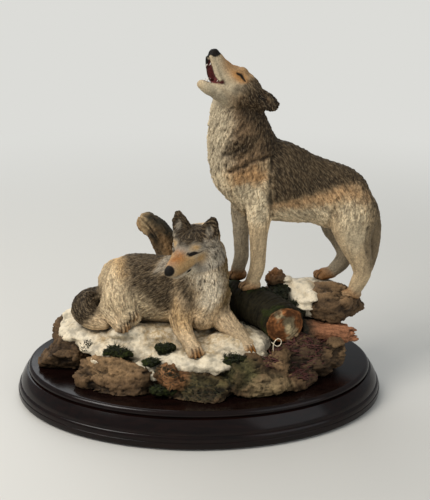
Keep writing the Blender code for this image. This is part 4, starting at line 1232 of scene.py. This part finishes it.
def snow_sheet(name, outline, drifts, ground, finish, seed, rise=3.4, texture=1.0):
    """Snow fused from flat balls that lie on the stones, larger and rounder at the lip."""
    chance = np.random.default_rng(seed)
    outline = np.array(outline, float)
    bm = bmesh.new()
    for i, drift in enumerate(drifts):
        add_drift(bm, drift, i)
    low, high = outline.min(0), outline.max(0)
    for x in np.arange(low[0], high[0], 4.4):
        for y in np.arange(low[1], high[1], 4.4):
            sx, sy = x + chance.uniform(-1.5, 1.5), y + chance.uniform(-1.5, 1.5)
            if not inside(outline, np.array([sx]), np.array([sy]))[0]:
                continue
            wide = chance.uniform(5.5, 7.5)
            add_ball(bm, (sx, sy, ground(sx, sy)), (wide, wide, rise * chance.uniform(0.8, 1.0)),
                     detail=2)
    middle = outline.mean(0)
    loop = smooth_path(np.vstack([outline, outline[:1]]), 6)
    for spot in loop[::2]:
        wide = chance.uniform(3.4, 5.6)
        spot = spot + (middle - spot) / np.linalg.norm(middle - spot) * wide * 0.8
        add_ball(bm, (*spot, ground(*spot) + 0.6), (wide, wide * 0.9, rise * chance.uniform(0.8, 1.1)),
                 detail=2)
    skin = Sculpt(fused(bm, SNOW_GRID, 16))
    flakes = shards(skin.points * (1, 1, 0.6), 3.2, seed)
    height = (0.55 * rough_noise(skin.points, 6, seed) + 0.4 * rough_noise(skin.points, 2.2, seed + 5)
              + 0.3 * flakes) * texture
    skin.raise_by(height)
    skin.coats["wash"] = settle(height)
    rim = to_path(skin.points[:, :2], loop)
    blots = rough_noise(skin.points, 5, seed + 9, 4)
    soil = np.clip((rim - 2) / 7, 0.15, 1) * np.clip(0.85 + 1.6 * blots, 0, 1)
    skin.coat("soil", soil)
    cut_level(skin)
    return skin.finish(name, finish)


def bark_height(limb, points, seed, rings):
    """Ridges round the log where rings is 1 and along it where rings is 0."""
    _, along, around, _ = limb.measure(points)
    wander = 1.6 * rough_noise(points, 9, seed + 4)
    round_it = np.column_stack([(along + wander) * 1.0, around * 0.16, along * 0])
    length = np.column_stack([along * 0.16, around, along * 0])
    coarse = 1 - np.abs(rough_noise(round_it * rings + length * (1 - rings), 2.6, seed)) * 2.4
    return 1.1 * coarse + 0.6 * rough_noise(points, 1.8, seed + 8)


def timber(name, stations, finish, seed, sawn=0.12, across=None, rings=0.0, extra=None, patches=()):
    """A log or stub with bark ridges; its sawn ends carry rings instead of bark."""
    bm = bmesh.new()
    across = across or level_across(stations)
    add_loft(bm, stations, across, 32, sawn)
    if extra:
        extra(bm)
    skin = Sculpt(fused(bm, TIMBER_GRID, 2))
    limb = Limb(stations, across)
    _, along, _, _ = limb.measure(skin.points)
    ends = np.abs((skin.normals * limb.along[0]).sum(1)) * (along < 6)
    end = np.clip((ends - 0.6) / 0.2, 0, 1)
    off = skin.points - limb.centre[0]
    off = off - (off @ limb.along[0])[:, None] * limb.along[0]
    radius = np.linalg.norm(off, axis=1) + 3.0 * rough_noise(skin.points, 8, seed + 31)
    rough_end = 0.12 * np.sin(radius * 2.6) + 1.1 * rough_noise(skin.points, 4, seed + 33) - 0.9
    height = (1 - end) * bark_height(limb, skin.points, seed, rings) + end * rough_end
    skin.raise_by(height)
    skin.coats["wash"] = settle(height)
    skin.coat("end", end)
    skin.coat("pale", end * np.clip(rough_noise(skin.points, 8, seed + 40) * 4 + 0.1, 0, 1))
    lay_patches(skin, patches, seed)
    skin.coat("moss", np.clip(rough_noise(skin.points, 9, seed + 50) * 3 - 0.3, 0, 1) * (1 - end))
    return skin.finish(name, finish)


def ragged_end(bm):
    """Splinters that stand out of the broken end."""
    chance = np.random.default_rng(8)
    for k in range(16):
        angle = 2 * math.pi * k / 16
        out = chance.uniform(1.5, 5)
        start = (106, -7 + out * math.cos(angle), 23 + out * math.sin(angle), 1.7, 1.4)
        middle = (112 + chance.uniform(0, 2.5), start[1] * 1.02, start[2], 1.3, 1)
        tip = (115 + chance.uniform(0, 5.5), start[1] + chance.uniform(-1, 1), start[2] + 0.5,
               0.5, 0.4)
        add_loft(bm, (start, middle, tip), ACROSS, 10)


def needle(bm, root, lean, length, girth, bow):
    """A three-sided tapered blade with a bend."""
    root, lean = Vector(root), Vector(lean).normalized()
    side = lean.orthogonal().normalized()
    other = lean.cross(side)
    rings = []
    for step in range(4):
        share = step / 4
        centre = root + lean * length * share + side * bow * share * share
        wide = girth * (1 - share * 0.8)
        rings.append([bm.verts.new(centre + (side * math.cos(a) + other * math.sin(a)) * wide)
                      for a in (0, 2.09, 4.19)])
    tip = bm.verts.new(root + lean * length + side * bow)
    for ring, after in zip(rings, rings[1:]):
        for k in range(3):
            bm.faces.new((ring[k], ring[(k + 1) % 3], after[(k + 1) % 3], after[k]))
    for k in range(3):
        bm.faces.new((rings[-1][k], rings[-1][(k + 1) % 3], tip))
    bm.faces.new(rings[0][::-1])


def finish_blades(name, bm, finish):
    bmesh.ops.recalc_face_normals(bm, faces=bm.faces)
    mesh = mesh_from(bm, name)
    mesh.transform(Matrix.Translation((0, 0, SEAT)) @ Matrix.Scale(MM, 4))
    return place_piece(name, mesh, finish)


# Moss and needle clumps: x, y, reach, count
MOSS = ((-58, -42, 10, 260), (-24, -42, 6, 120), (-32, -50, 6, 110), (-24, -62, 10, 160),
        (-8, -66, 10, 120), (26, -46, 8, 120), (8, -68, 8, 70), (56, -34, 6, 60), (-84, -26, 6, 60),
        (46, 2, 14, 300), (60, 4, 10, 240), (72, -2, 8, 160), (34, 14, 14, 200))
# Cushions under the clumps on the snow: x, y, z, radii
CUSHIONS = ((-58, -42, 25, 10, 6, 6), (-24, -42, 27, 6, 4.5, 6), (-33, -50, 20, 6, 4, 4),
            (26, -46, 20, 9, 6, 6), (-24, -64, 5, 8, 5, 6))


def moss_clumps(ground, finish):
    chance = np.random.default_rng(77)
    bm = bmesh.new()
    for x, y, reach, count in MOSS:
        for _ in range(count):
            away, turn = reach * math.sqrt(chance.random()), chance.uniform(0, 2 * math.pi)
            sx, sy = x + away * math.cos(turn), y + away * 0.7 * math.sin(turn)
            level = ground(sx, sy)
            lean = (chance.normal() * 0.8, chance.normal() * 0.8 - 0.3, chance.uniform(0.1, 0.7))
            if level > 0.5:
                needle(bm, (sx, sy, level - 0.4), lean, chance.uniform(2.2, 4.6), 0.36,
                       chance.uniform(-0.8, 0.8))
    return finish_blades("moss_clumps", bm, finish)


def moss_cushions(finish):
    chance = np.random.default_rng(12)
    bm = bmesh.new()
    for x, y, z, wide, deep, high in CUSHIONS:
        for _ in range(5):
            shift = chance.uniform(-0.65, 0.65, 2) * (wide, deep)
            size = chance.uniform(0.45, 0.8)
            add_ball(bm, (x + shift[0], y + shift[1], z), (wide * size, deep * size, high * size * 0.8))
    skin = Sculpt(fused(bm, CUSHION_GRID, 2))
    height = 1.1 * shards(skin.points, 2.4, 4) + 0.9 * rough_noise(skin.points, 2.4, 6)
    skin.raise_by(height)
    skin.coats["wash"] = settle(height)
    cut_level(skin)
    return skin.finish("moss_cushions", finish)


def leaf_litter(ground, finish):
    """Twigs and curled leaves in the hollow under the log's cut end."""
    chance = np.random.default_rng(31)
    bm = bmesh.new()
    for _ in range(420):
        x, y = chance.uniform(48, 96), chance.uniform(-52, -16)
        level = ground(x, y)
        turn = chance.uniform(-0.6, 0.6) + (0.5 if chance.random() < 0.6 else 2.2)
        lean = (math.cos(turn), math.sin(turn) * 0.5, chance.uniform(-0.3, 0.3))
        length = chance.uniform(3.5, 9)
        far = ground(x + lean[0] * length, y + lean[1] * length)
        if min(level, far) > 2 and abs(level - far) < 5:
            needle(bm, (x, y, level + 0.2), lean, length, chance.uniform(0.4, 0.9),
                   chance.uniform(-1.5, 1.5))
    return finish_blades("leaf_litter", bm, finish)


# Plinth

def plinth_profile(size):
    """Inset and height from the underside up the moulding to the top, in metres."""
    low, band, top = size.pad + 0.0003, size.band, size.height
    rows = [(size.arris * (1 - math.sin(a)), low + size.arris * (1 - math.cos(a)))
            for a in np.linspace(0, math.pi / 2, 4)]
    rows += [(size.arris * (1 - math.cos(a)), band - size.arris * (1 - math.sin(a)))
             for a in np.linspace(0, math.pi / 2, 4)]
    rows += [(size.arris + (size.ovolo_inset - size.arris) * (1 - math.cos(a)),
              band + size.ovolo_height * math.sin(a)) for a in np.linspace(0, math.pi / 2, 9)]
    ogee_low, ogee_top = band + size.ovolo_height, band + size.ogee_height
    rows += [(size.ovolo_inset + (size.ogee_inset - size.ovolo_inset) * t ** 1.5,
              ogee_low + (ogee_top - ogee_low) * t) for t in np.linspace(0.08, 1, 12)]
    cove = size.lip_inset + size.cove
    lip_low = top - size.lip_height
    rows += [(cove, ogee_top + size.arris / 2), (cove, lip_low)]
    rows += [(size.lip_inset + (size.top_inset - size.lip_inset) * (1 - math.cos(a)),
              lip_low + size.lip_height * math.sin(a)) for a in np.linspace(0, math.pi / 2, 9)]
    return rows


def oval_plinth(size, finish, segments=288):
    low, high = CAD_BOX
    length, width = high[0] - low[0], high[1] - low[1]
    bm = bmesh.new()
    rings = []
    for inset, height in plinth_profile(size):
        ring = []
        for k in range(segments):
            angle = 2 * math.pi * k / segments
            x, y = length / 2 * math.cos(angle), width / 2 * math.sin(angle)
            outward = Vector((x / length ** 2, y / width ** 2, 0)).normalized()
            ring.append(bm.verts.new(Vector((x, y, height)) - outward * inset))
        rings.append(ring)
    for ring, other in zip(rings, rings[1:]):
        for k in range(segments):
            after = (k + 1) % segments
            bm.faces.new((ring[k], ring[after], other[after], other[k]))
    bm.faces.new(rings[0][::-1])
    bm.faces.new(rings[-1])
    mesh = mesh_from(bm, "oval_plinth")
    piece = place_piece("oval_plinth", mesh, finish, "wood_plinth")
    mesh.set_sharp_from_angle(angle=math.radians(38))
    return piece


def mahogany(settings):
    nodes = Nodes("mahogany")
    grain = nodes.noise(26, 6.0, 0.6, stretch=(1.0, 9.0, 9.0))
    tone = nodes.ramp(grain, ((0.3, tuple(settings.wood_dark)), (0.7, tuple(settings.wood_light))))
    pores = nodes.noise(420, 2.0, 0.6, stretch=(0.12, 1.0, 1.0))
    tone = nodes.times(tone, pores, ((0.38, 0.7), (0.5, 1.0)))
    gloss = nodes.ramp(nodes.noise(60, 3.0, 0.6), ((0.3, 0.14), (0.7, 0.24)))
    nodes.bump(pores, 0.06, 0.0002)
    nodes.shader.inputs["Coat Weight"].default_value = 0.08
    nodes.shader.inputs["Coat Roughness"].default_value = 0.12
    return nodes.surface(tone, gloss, 0.16)


def baize(settings):
    nodes = Nodes("green_baize")
    fuzz = nodes.noise(2600, 4.0, 0.8)
    dark = tuple(part * 0.6 for part in settings.baize)
    tone = nodes.ramp(fuzz, ((0.35, dark), (0.65, tuple(settings.baize))))
    nodes.bump(fuzz, 0.5, 0.0004)
    return nodes.surface(tone, 0.95, 0.1)


def screw_steel(settings):
    nodes = Nodes("zinc_steel")
    brush = nodes.noise(900, 3.0, 0.6, stretch=(1, 1, 14))
    dark = tuple(part * 0.7 for part in settings.steel)
    tone = nodes.ramp(brush, ((0.3, dark), (0.7, tuple(settings.steel))))
    nodes.shader.inputs["Metallic"].default_value = 1.0
    return nodes.surface(tone, nodes.ramp(brush, ((0.3, 0.28), (0.7, 0.42))))


def snow_finish(settings):
    nodes = Nodes("snow_paint")
    tone = nodes.mix(nodes.attribute("soil"), tuple(settings.snow), tuple(settings.soil))
    crust = nodes.noise(420, 5.0, 0.7)
    flecks = nodes.ramp(crust, ((0.47, 0.0), (0.6, 0.75)))
    tone = nodes.mix(flecks, tone, tuple(settings.snow))
    tone = nodes.times(tone, nodes.attribute("wash"), ((0.0, 0.55), (0.5, 0.92), (1.0, 1.12)))
    speck = nodes.noise(1300, 3.0, 0.7)
    tone = nodes.times(tone, speck, ((0.3, 0.8), (0.6, 1.04)))
    # Painted shade: darker where nearby surfaces hem the snow in
    tone = nodes.times(tone, nodes.occlusion_shade(), ((0.2, 0.45), (0.75, 1.0)))
    nodes.bump(speck, 0.4, 0.0003)
    return nodes.surface(tone, nodes.ramp(speck, ((0.3, 0.4), (0.7, 0.62))))


def timber_finish(name, bark, end, pale, moss):
    coats = (("moss", moss), ("end", end), ("pale", pale), ("dark", (0.03, 0.025, 0.016)))
    return painted(name, bark, coats, 0.2, 1.6, 800, 0.8)


def plain_grain(name, tone, spread=0.5, scale=500):
    """Paint for blades and twigs, darker and lighter from one to the next."""
    nodes = Nodes(name)
    shade = nodes.noise(scale, 3.0, 0.7)
    made = nodes.ramp(shade, ((0.3, tuple(part * (1 - spread) for part in tone)),
                              (0.7, tuple(part * (1 + spread) for part in tone))))
    return nodes.surface(made, nodes.ramp(shade, ((0.3, 0.5), (0.7, 0.75))))


# Stage

FOCAL_PIXELS = 940
FRAME_PIXELS = 500
CAMERA_PLACE = (0.0124, -0.6531, 0.3577)
CAMERA_TILT = 69.5
# Lamps: name, place, power, size, colour
LAMPS = (("key", (-0.62, -0.35, 0.85), 8.0, 0.5, (1, 0.97, 0.93)),
         ("fill", (0.8, -0.8, 0.5), 2.2, 0.8, (0.92, 0.96, 1)),
         ("back", (-0.2, 0.9, 0.9), 5, 0.9, (0.95, 0.98, 1)))


def set_camera():
    camera = bpy.data.cameras.new("view")
    camera.sensor_width = 36
    camera.lens = camera.sensor_width * FOCAL_PIXELS / FRAME_PIXELS
    spot = put("view", camera)
    spot.location = CAMERA_PLACE
    spot.rotation_euler = (math.radians(CAMERA_TILT), 0, 0)
    bpy.context.scene.camera = spot


def lay_floor(settings):
    """A pale floor that fades to the backdrop where the camera sees it far off."""
    bm = bmesh.new()
    bmesh.ops.create_grid(bm, x_segments=1, y_segments=1, size=4)
    mesh = mesh_from(bm, "floor")
    nodes = Nodes("floor_paint")
    nodes.surface(tuple(settings.floor), 0.55, 0.3)
    reach = nodes.add("ShaderNodeVectorMath", operation="LENGTH")
    nodes.set(reach.inputs[0], nodes.add("ShaderNodeTexCoord").outputs["Object"])
    far = nodes.add("ShaderNodeMapRange", interpolation_type="SMOOTHSTEP")
    nodes.set(far.inputs["Value"], reach.outputs["Value"])
    far.inputs["From Min"].default_value = 0.3
    far.inputs["From Max"].default_value = 0.9
    seen = nodes.add("ShaderNodeLightPath").outputs["Is Camera Ray"]
    backdrop = nodes.add("ShaderNodeEmission")
    nodes.set(backdrop.inputs["Color"], tuple(settings.backdrop))
    blend = nodes.add("ShaderNodeMixShader")
    nodes.set(blend.inputs["Fac"], nodes.maths("MULTIPLY", far.outputs["Result"], seen))
    nodes.set(blend.inputs[1], nodes.shader.outputs["BSDF"])
    nodes.set(blend.inputs[2], backdrop.outputs["Emission"])
    nodes.set(nodes.tree.nodes["Material Output"].inputs["Surface"], blend.outputs["Shader"])
    mesh.materials.append(nodes.material)
    put("floor", mesh)


def light_world(settings):
    """A soft surround that the camera sees as the backdrop."""
    world = bpy.data.worlds.new("studio")
    bpy.context.scene.world = world
    world.use_nodes = True
    tree = world.node_tree
    sky = tree.nodes["Background"]
    sky.inputs["Color"].default_value = (*settings.sky, 1)
    sky.inputs["Strength"].default_value = settings.sky_strength
    shown = tree.nodes.new("ShaderNodeBackground")
    shown.inputs["Color"].default_value = (*settings.backdrop, 1)
    seen = tree.nodes.new("ShaderNodeLightPath").outputs["Is Camera Ray"]
    either = tree.nodes.new("ShaderNodeMixShader")
    tree.links.new(either.inputs["Fac"], seen)
    tree.links.new(either.inputs[1], sky.outputs["Background"])
    tree.links.new(either.inputs[2], shown.outputs["Background"])
    tree.links.new(tree.nodes["World Output"].inputs["Surface"], either.outputs["Shader"])


def hang_lamps():
    aim = Vector((0, 0, 0.1))
    for name, place, power, size, tone in LAMPS:
        lamp = bpy.data.lights.new(name, "AREA")
        lamp.energy = power
        lamp.size = size
        lamp.color = tone
        light = put(name, lamp)
        light.location = place
        light.rotation_euler = (aim - Vector(place)).to_track_quat("-Z", "Y").to_euler()


def build_stage(settings):
    set_camera()
    lay_floor(settings)
    light_world(settings)
    hang_lamps()
    bpy.context.scene.view_settings.view_transform = "Standard"


# Settings

def pigment(name, description, code):
    """A colour a user can change, given as a six-digit sRGB code."""
    return FloatVectorProperty(name=name, description=description, default=colour(code),
                               subtype="COLOR", min=0, max=1)


def length_of(name, description, default):
    return FloatProperty(name=name, description=description, default=default, unit="LENGTH", min=0)


class HowlerPaint(bpy.types.PropertyGroup):
    ground: pigment("Ground", "Cream-tan legs under every other coat", "c2ab88")
    cream: pigment("Cream", "Throat, chest, belly and chin", "c8b89a")
    tan: pigment("Tan", "Shoulder, flank and cheek", "ac8860")
    olive: pigment("Olive", "Brown neck under the dark bands", "79634a")
    grey: pigment("Grey", "Far legs", "938a78")
    dark: pigment("Dark", "Saddle, neck bands and ears", "2e2213")
    ochre: pigment("Ochre", "Paws", "94602a")
    orange: pigment("Orange", "Muzzle and brow", "b57a38")
    white: pigment("White", "Chin and teeth", "dcd4c6")
    maroon: pigment("Maroon", "Mouth", "683230")
    black: pigment("Black", "Nose, lips and eyes", "17130f")


class LyingPaint(bpy.types.PropertyGroup):
    ground: pigment("Ground", "Cream-tan under every other coat", "c4ac8a")
    cream: pigment("Cream", "Flank, thigh and chest", "beab8b")
    tan: pigment("Tan", "Thigh, brows and chest", "bb9a6c")
    olive: pigment("Olive", "Mane on the shoulder", "746040")
    grey: pigment("Grey", "Cheeks", "968d7e")
    dark: pigment("Dark", "Back, tail and crown", "2f2415")
    ochre: pigment("Ochre", "Paws", "98652c")
    orange: pigment("Orange", "Muzzle", "985c20")
    white: pigment("White", "Chin and throat", "ddd0b8")
    maroon: pigment("Maroon", "Mouth", "4c1614")
    black: pigment("Black", "Nose, lips and eyes", "17130f")


class GroundPaint(bpy.types.PropertyGroup):
    stone: pigment("Stone", "Brown ground of the rocks", "58442f")
    tan: pigment("Tan", "Pale tan stones", "84694a")
    cream: pigment("Cream", "Palest stones", "9a8460")
    green: pigment("Green", "Mossy stones", "4e4c2e")
    orange: pigment("Orange", "Rust-coloured stones", "8f6440")
    dark: pigment("Dark", "Shaded stones", "3e3022")
    snow: pigment("Snow", "Clean snow on the lip", "e8d9bc")
    soil: pigment("Soiled snow", "Snow within the drift", "bfa67e")
    bark: pigment("Bark", "Dark bark of the log", "1c180c")
    cut_wood: pigment("Cut wood", "Red-brown end grain", "c07c4a")
    pale_wood: pigment("Pale wood", "Cream patches on the end", "e8cfa0")
    bare_wood: pigment("Bare wood", "Pinkish splintered branch", "875b40")
    stump: pigment("Stump", "Weathered tan wood of the stump", "7a6042")
    moss: pigment("Moss", "Dark green moss and needles", "20240a")
    litter: pigment("Litter", "Maroon twigs and leaves", "4c231b")


class PlinthSizes(bpy.types.PropertyGroup):
    height: length_of("Height", "Top face over the floor", round(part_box("wood_plinth")[1].z, 5))
    pad: length_of("Pad", "Thickness of the baize", 0.001)
    band: length_of("Band", "Height of the straight foot", 0.0061)
    arris: length_of("Arris", "Radius of a sharp edge", 0.0005)
    ovolo_height: length_of("Ovolo height", "Height of the convex moulding", 0.0044)
    ovolo_inset: length_of("Ovolo inset", "Inset of the convex moulding", 0.0024)
    ogee_height: length_of("Ogee height", "Top of the sloping face over the band", 0.0144)
    ogee_inset: length_of("Ogee inset", "Inset of the sloping face's top", 0.0073)
    lip_height: length_of("Lip height", "Height of the top lip", 0.0034)
    lip_inset: length_of("Lip inset", "Inset of the lip's foot", 0.0088)
    top_inset: length_of("Top inset", "Inset of the flat top", 0.0118)
    cove: length_of("Cove", "Depth of the groove under the lip", 0.001)
    wood_dark: pigment("Dark wood", "Darkest grain", "0c0605")
    wood_light: pigment("Light wood", "Lightest grain", "190b08")
    baize: pigment("Baize", "Pad under the plinth", "1f3a28")
    steel: pigment("Steel", "Screws", "b4b0a8")


class StageSettings(bpy.types.PropertyGroup):
    floor: pigment("Floor", "Colour of the floor", "d0cdc6")
    backdrop: pigment("Backdrop", "Colour the floor fades to", "dcdcd8")
    sky: pigment("Surround", "Colour of the surround", "e6ebee")
    sky_strength: FloatProperty(name="Surround strength", description="Brightness of the surround",
                                default=0.5, min=0)


# Operators

class HowlingWolf(bpy.types.Operator):
    """Sculpts and paints the howling wolf"""
    bl_idname = "figurine.howling_wolf"
    bl_label = "Howling wolf"

    def execute(self, context):
        howling_wolf(context.scene.howler_paint)
        return {"FINISHED"}


class LyingWolf(bpy.types.Operator):
    """Sculpts and paints the lying wolf"""
    bl_idname = "figurine.lying_wolf"
    bl_label = "Lying wolf"

    def execute(self, context):
        lying_wolf(context.scene.lying_paint)
        return {"FINISHED"}


class Outcrop(bpy.types.Operator):
    """Builds the stones with their snow, moss and leaf litter"""
    bl_idname = "figurine.outcrop"
    bl_label = "Outcrop"

    def execute(self, context):
        paint = context.scene.ground_paint
        stones = stone_outcrop(paint)
        bank = mossy_bank(paint)
        ground = ground_under(stones)
        snow = snow_finish(paint)
        drift = snow_sheet("near_snow", NEAR_SNOW, DRIFTS, ground, snow, 5)
        snow_sheet("upper_snow", UPPER_SNOW, UPPER_DRIFTS, ground, snow, 6, 1.8, 0.5)
        cushions = moss_cushions(painted("cushion_paint", tuple(paint.moss), (), 0.25, 1.9, 900, 0.8))
        mossy = ground_under(stones, bank, drift, cushions)
        moss_clumps(mossy, plain_grain("moss_paint", tuple(paint.moss)))
        leaf_litter(ground, plain_grain("litter_paint", tuple(paint.litter)))
        return {"FINISHED"}


class Timber(bpy.types.Operator):
    """Builds the fallen log, the broken branch and the stump"""
    bl_idname = "figurine.timber"
    bl_label = "Timber"

    def execute(self, context):
        paint = context.scene.ground_paint
        bark, end, pale, moss, bare = (tuple(tone) for tone in (
            paint.bark, paint.cut_wood, paint.pale_wood, paint.moss, paint.bare_wood))
        timber("fallen_log", LOG, timber_finish("bark_paint", bark, end, pale, moss), 13, rings=1.0)
        branch = timber_finish("branch_paint", bare, end, pale, bare)
        timber("broken_branch", BRANCH, branch, 17, extra=ragged_end, patches=BRANCH_PATCHES)
        old = tuple(paint.stump)
        timber("tree_stump", STUMP, timber_finish("stump_paint", old, end, pale, old), 19,
               sawn=1.0, across=ACROSS, patches=STUMP_PATCHES)
        bm = bmesh.new()
        add_loft(bm, LOOP, ACROSS, 8)
        finish_blades("thread_loop", bm, plain_grain("thread_paint", tuple(paint.snow), 0.1))
        return {"FINISHED"}


class Plinth(bpy.types.Operator):
    """Turns the moulded oval plinth and finishes its pad and screws"""
    bl_idname = "figurine.plinth"
    bl_label = "Plinth"

    def execute(self, context):
        sizes = context.scene.plinth_sizes
        oval_plinth(sizes, mahogany(sizes))
        finishes = {"plinth_baize": baize(sizes), "fixing_screw_left": screw_steel(sizes),
                    "fixing_screw_right": screw_steel(sizes)}
        for node, finish in finishes.items():
            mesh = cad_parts[node].data
            mesh.materials.clear()
            mesh.materials.append(finish)
        return {"FINISHED"}


class Stage(bpy.types.Operator):
    """Sets the floor, the lights and the camera"""
    bl_idname = "figurine.stage"
    bl_label = "Stage"

    def execute(self, context):
        build_stage(context.scene.stage_settings)
        return {"FINISHED"}


class FigurinePanel(bpy.types.Panel):
    """Lists the pieces and their settings"""
    bl_idname = "VIEW3D_PT_figurine"
    bl_label = "Wolf figurine"
    bl_space_type = "VIEW_3D"
    bl_region_type = "UI"
    bl_category = "Figurine"

    def draw(self, context):
        for operator in OPERATORS:
            self.layout.operator(operator.bl_idname)
        for store, group in SETTINGS.items():
            box = self.layout.box()
            for field in group.__annotations__:
                box.prop(getattr(context.scene, store), field)


SETTINGS = {"howler_paint": HowlerPaint, "lying_paint": LyingPaint, "ground_paint": GroundPaint,
            "plinth_sizes": PlinthSizes, "stage_settings": StageSettings}
OPERATORS = (HowlingWolf, LyingWolf, Outcrop, Timber, Plinth, Stage)


def register():
    for group in SETTINGS.values():
        bpy.utils.register_class(group)
    for operator in OPERATORS:
        bpy.utils.register_class(operator)
    bpy.utils.register_class(FigurinePanel)
    for store, group in SETTINGS.items():
        setattr(bpy.types.Scene, store, PointerProperty(type=group))


def unregister():
    for store in SETTINGS:
        delattr(bpy.types.Scene, store)
    bpy.utils.unregister_class(FigurinePanel)
    for operator in reversed(OPERATORS):
        bpy.utils.unregister_class(operator)
    for group in SETTINGS.values():
        bpy.utils.unregister_class(group)


def main():
    register()
    bpy.ops.figurine.howling_wolf()
    bpy.ops.figurine.lying_wolf()
    bpy.ops.figurine.outcrop()
    bpy.ops.figurine.timber()
    bpy.ops.figurine.plinth()
    bpy.ops.figurine.stage()


if __name__ == "__main__":
    main()
